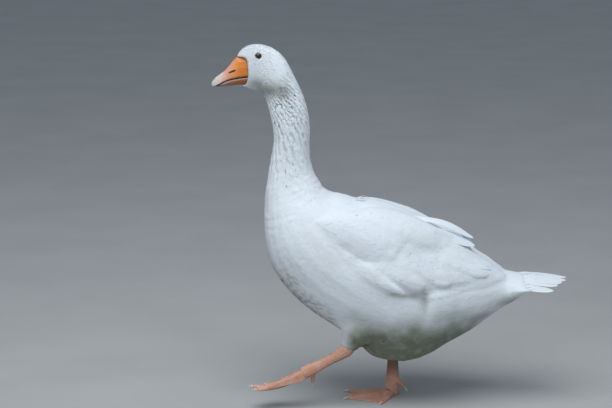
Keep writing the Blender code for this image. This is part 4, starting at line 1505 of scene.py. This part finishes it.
def tail_feathers():
    """Curve, upward direction and width of each of the tail's long feathers."""
    for tip_x, tip_y, tip_z, rise, width, roll in TAIL_TIPS:
        root = (TAIL_ROOT_X, tip_y * 0.5, 0.5 * tip_z + 0.5 * TAIL_ROOT_Z)
        middle = (TAIL_MIDDLE_X, tip_y * 0.82, tip_z + rise)
        path = np.array((root, middle, (tip_x, tip_y, tip_z))) * MM
        yield path, (0, math.copysign(1, tip_y) * roll, 1), width * MM


def tail_coat(outer, material):
    """Long tail feathers, and the coverts that hide where they begin."""
    coat = Coat("coat_tail")
    feathers = list(tail_feathers())
    add_free_vanes(coat, QUILL, feathers)
    lift = (0, 0, 1.2 * MM)
    covers = [(spline(path, 11)[[2, 4, 6]] + lift, up, width) for path, up, width in feathers]
    add_free_vanes(coat, QUILL, covers)
    x = outer.centres[:, 0]
    roots = scatter(outer, (x > TAIL_COVERT_X) & (x < TAIL_BARE_X + 4 * MM), TAIL_SPACING)
    heading = np.tile((1.0, 0.0, -0.05), (len(roots), 1))
    lay_vanes(coat, outer, roots, heading, COVERT, TAIL_COVERT_SCALE)
    coat.finish(material)


# ---------------- studio


CAMERA_PLACE, CAMERA_TARGET = (-0.176, -4.3967, 1.3851), (-0.176, 0, 0.4265)
CAMERA_LENS, SENSOR_WIDTH = 126.05, 36
LIGHT_TARGET = (0, 0, 0.35)
LIGHTS = {  # place, size, power and colour
    "overhead": ((-0.3, -1.3, 3.2), 2.6, 77, (0.95, 0.98, 1.0)),
    "front": ((-1.9, -3.2, 2.2), 1.8, 19, (0.9, 0.95, 1.0)),
}
SKY_COLOUR, SKY_STRENGTH = (0.75, 0.88, 1.04, 1), 0.29
FLOOR_DARK, FLOOR_LIGHT = (0.46, 0.46, 0.45, 1), (0.49, 0.49, 0.48, 1)
FLOOR_HALF = 12


def add_aimed(name, data, place, target):
    """A camera or light that looks from its place at its target."""
    obj = add_object(name, data)
    obj.location = place
    obj.rotation_euler = (Vector(target) - Vector(place)).to_track_quat("-Z", "Y").to_euler()
    return obj


def make_camera():
    data = bpy.data.cameras.new("camera")
    data.lens = CAMERA_LENS
    data.sensor_width = SENSOR_WIDTH
    data.clip_end = 100
    bpy.context.scene.camera = add_aimed("camera", data, CAMERA_PLACE, CAMERA_TARGET)


def make_lights():
    for name, (place, size, power, colour) in LIGHTS.items():
        data = bpy.data.lights.new(name, "AREA")
        data.shape = "DISK"
        data.size = size
        data.energy = power
        data.color = colour
        add_aimed(name, data, place, LIGHT_TARGET)
    world = bpy.data.worlds.new("studio")
    world.use_nodes = True
    sky = {"Color": SKY_COLOUR, "Strength": SKY_STRENGTH}
    set_inputs(world.node_tree, world.node_tree.nodes["Background"], sky)
    bpy.context.scene.world = world
    bpy.context.scene.view_settings.view_transform = "Standard"


def make_floor():
    corners = np.array([(-1, -1, 0), (1, -1, 0), (1, 1, 0), (-1, 1, 0)]) * FLOOR_HALF
    mesh = build_mesh("floor", corners, np.array([(0, 1, 2, 3)]))
    material, tree, shader = new_material("floor")
    grain = ramp(tree, object_noise(tree, 4), 0.3, 0.7)
    colour = layered(tree, FLOOR_DARK, (grain, FLOOR_LIGHT))
    set_inputs(tree, shader, {"Base Color": colour, "Roughness": 0.9})
    mesh.materials.append(material)
    floor = add_object("floor", mesh)
    floor.location.z = CAD_BOX[0][2]


def finish_claws():
    claw = claw_material()
    for name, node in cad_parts.items():
        if name.startswith("claw_"):
            node.data.materials.clear()
            node.data.materials.append(claw)


def build():
    outer, edges, owner = outer_surface()
    make_skin(outer, edges, owner)
    horn = bill_material()
    make_bill("bill_upper", "bill_lower", horn)
    make_bill("bill_lower", "bill_upper", horn)
    for side in SIDES:
        make_eye(side)
    finish_claws()
    plumage = plumage_material()
    part_of_face = owner[outer.faces[:, 0]].astype(str)
    for coat in (head_coat, neck_coat, body_coat, wing_coat):
        coat(outer, part_of_face, plumage)
    tail_coat(outer, plumage)
    make_camera()
    make_lights()
    make_floor()


build()
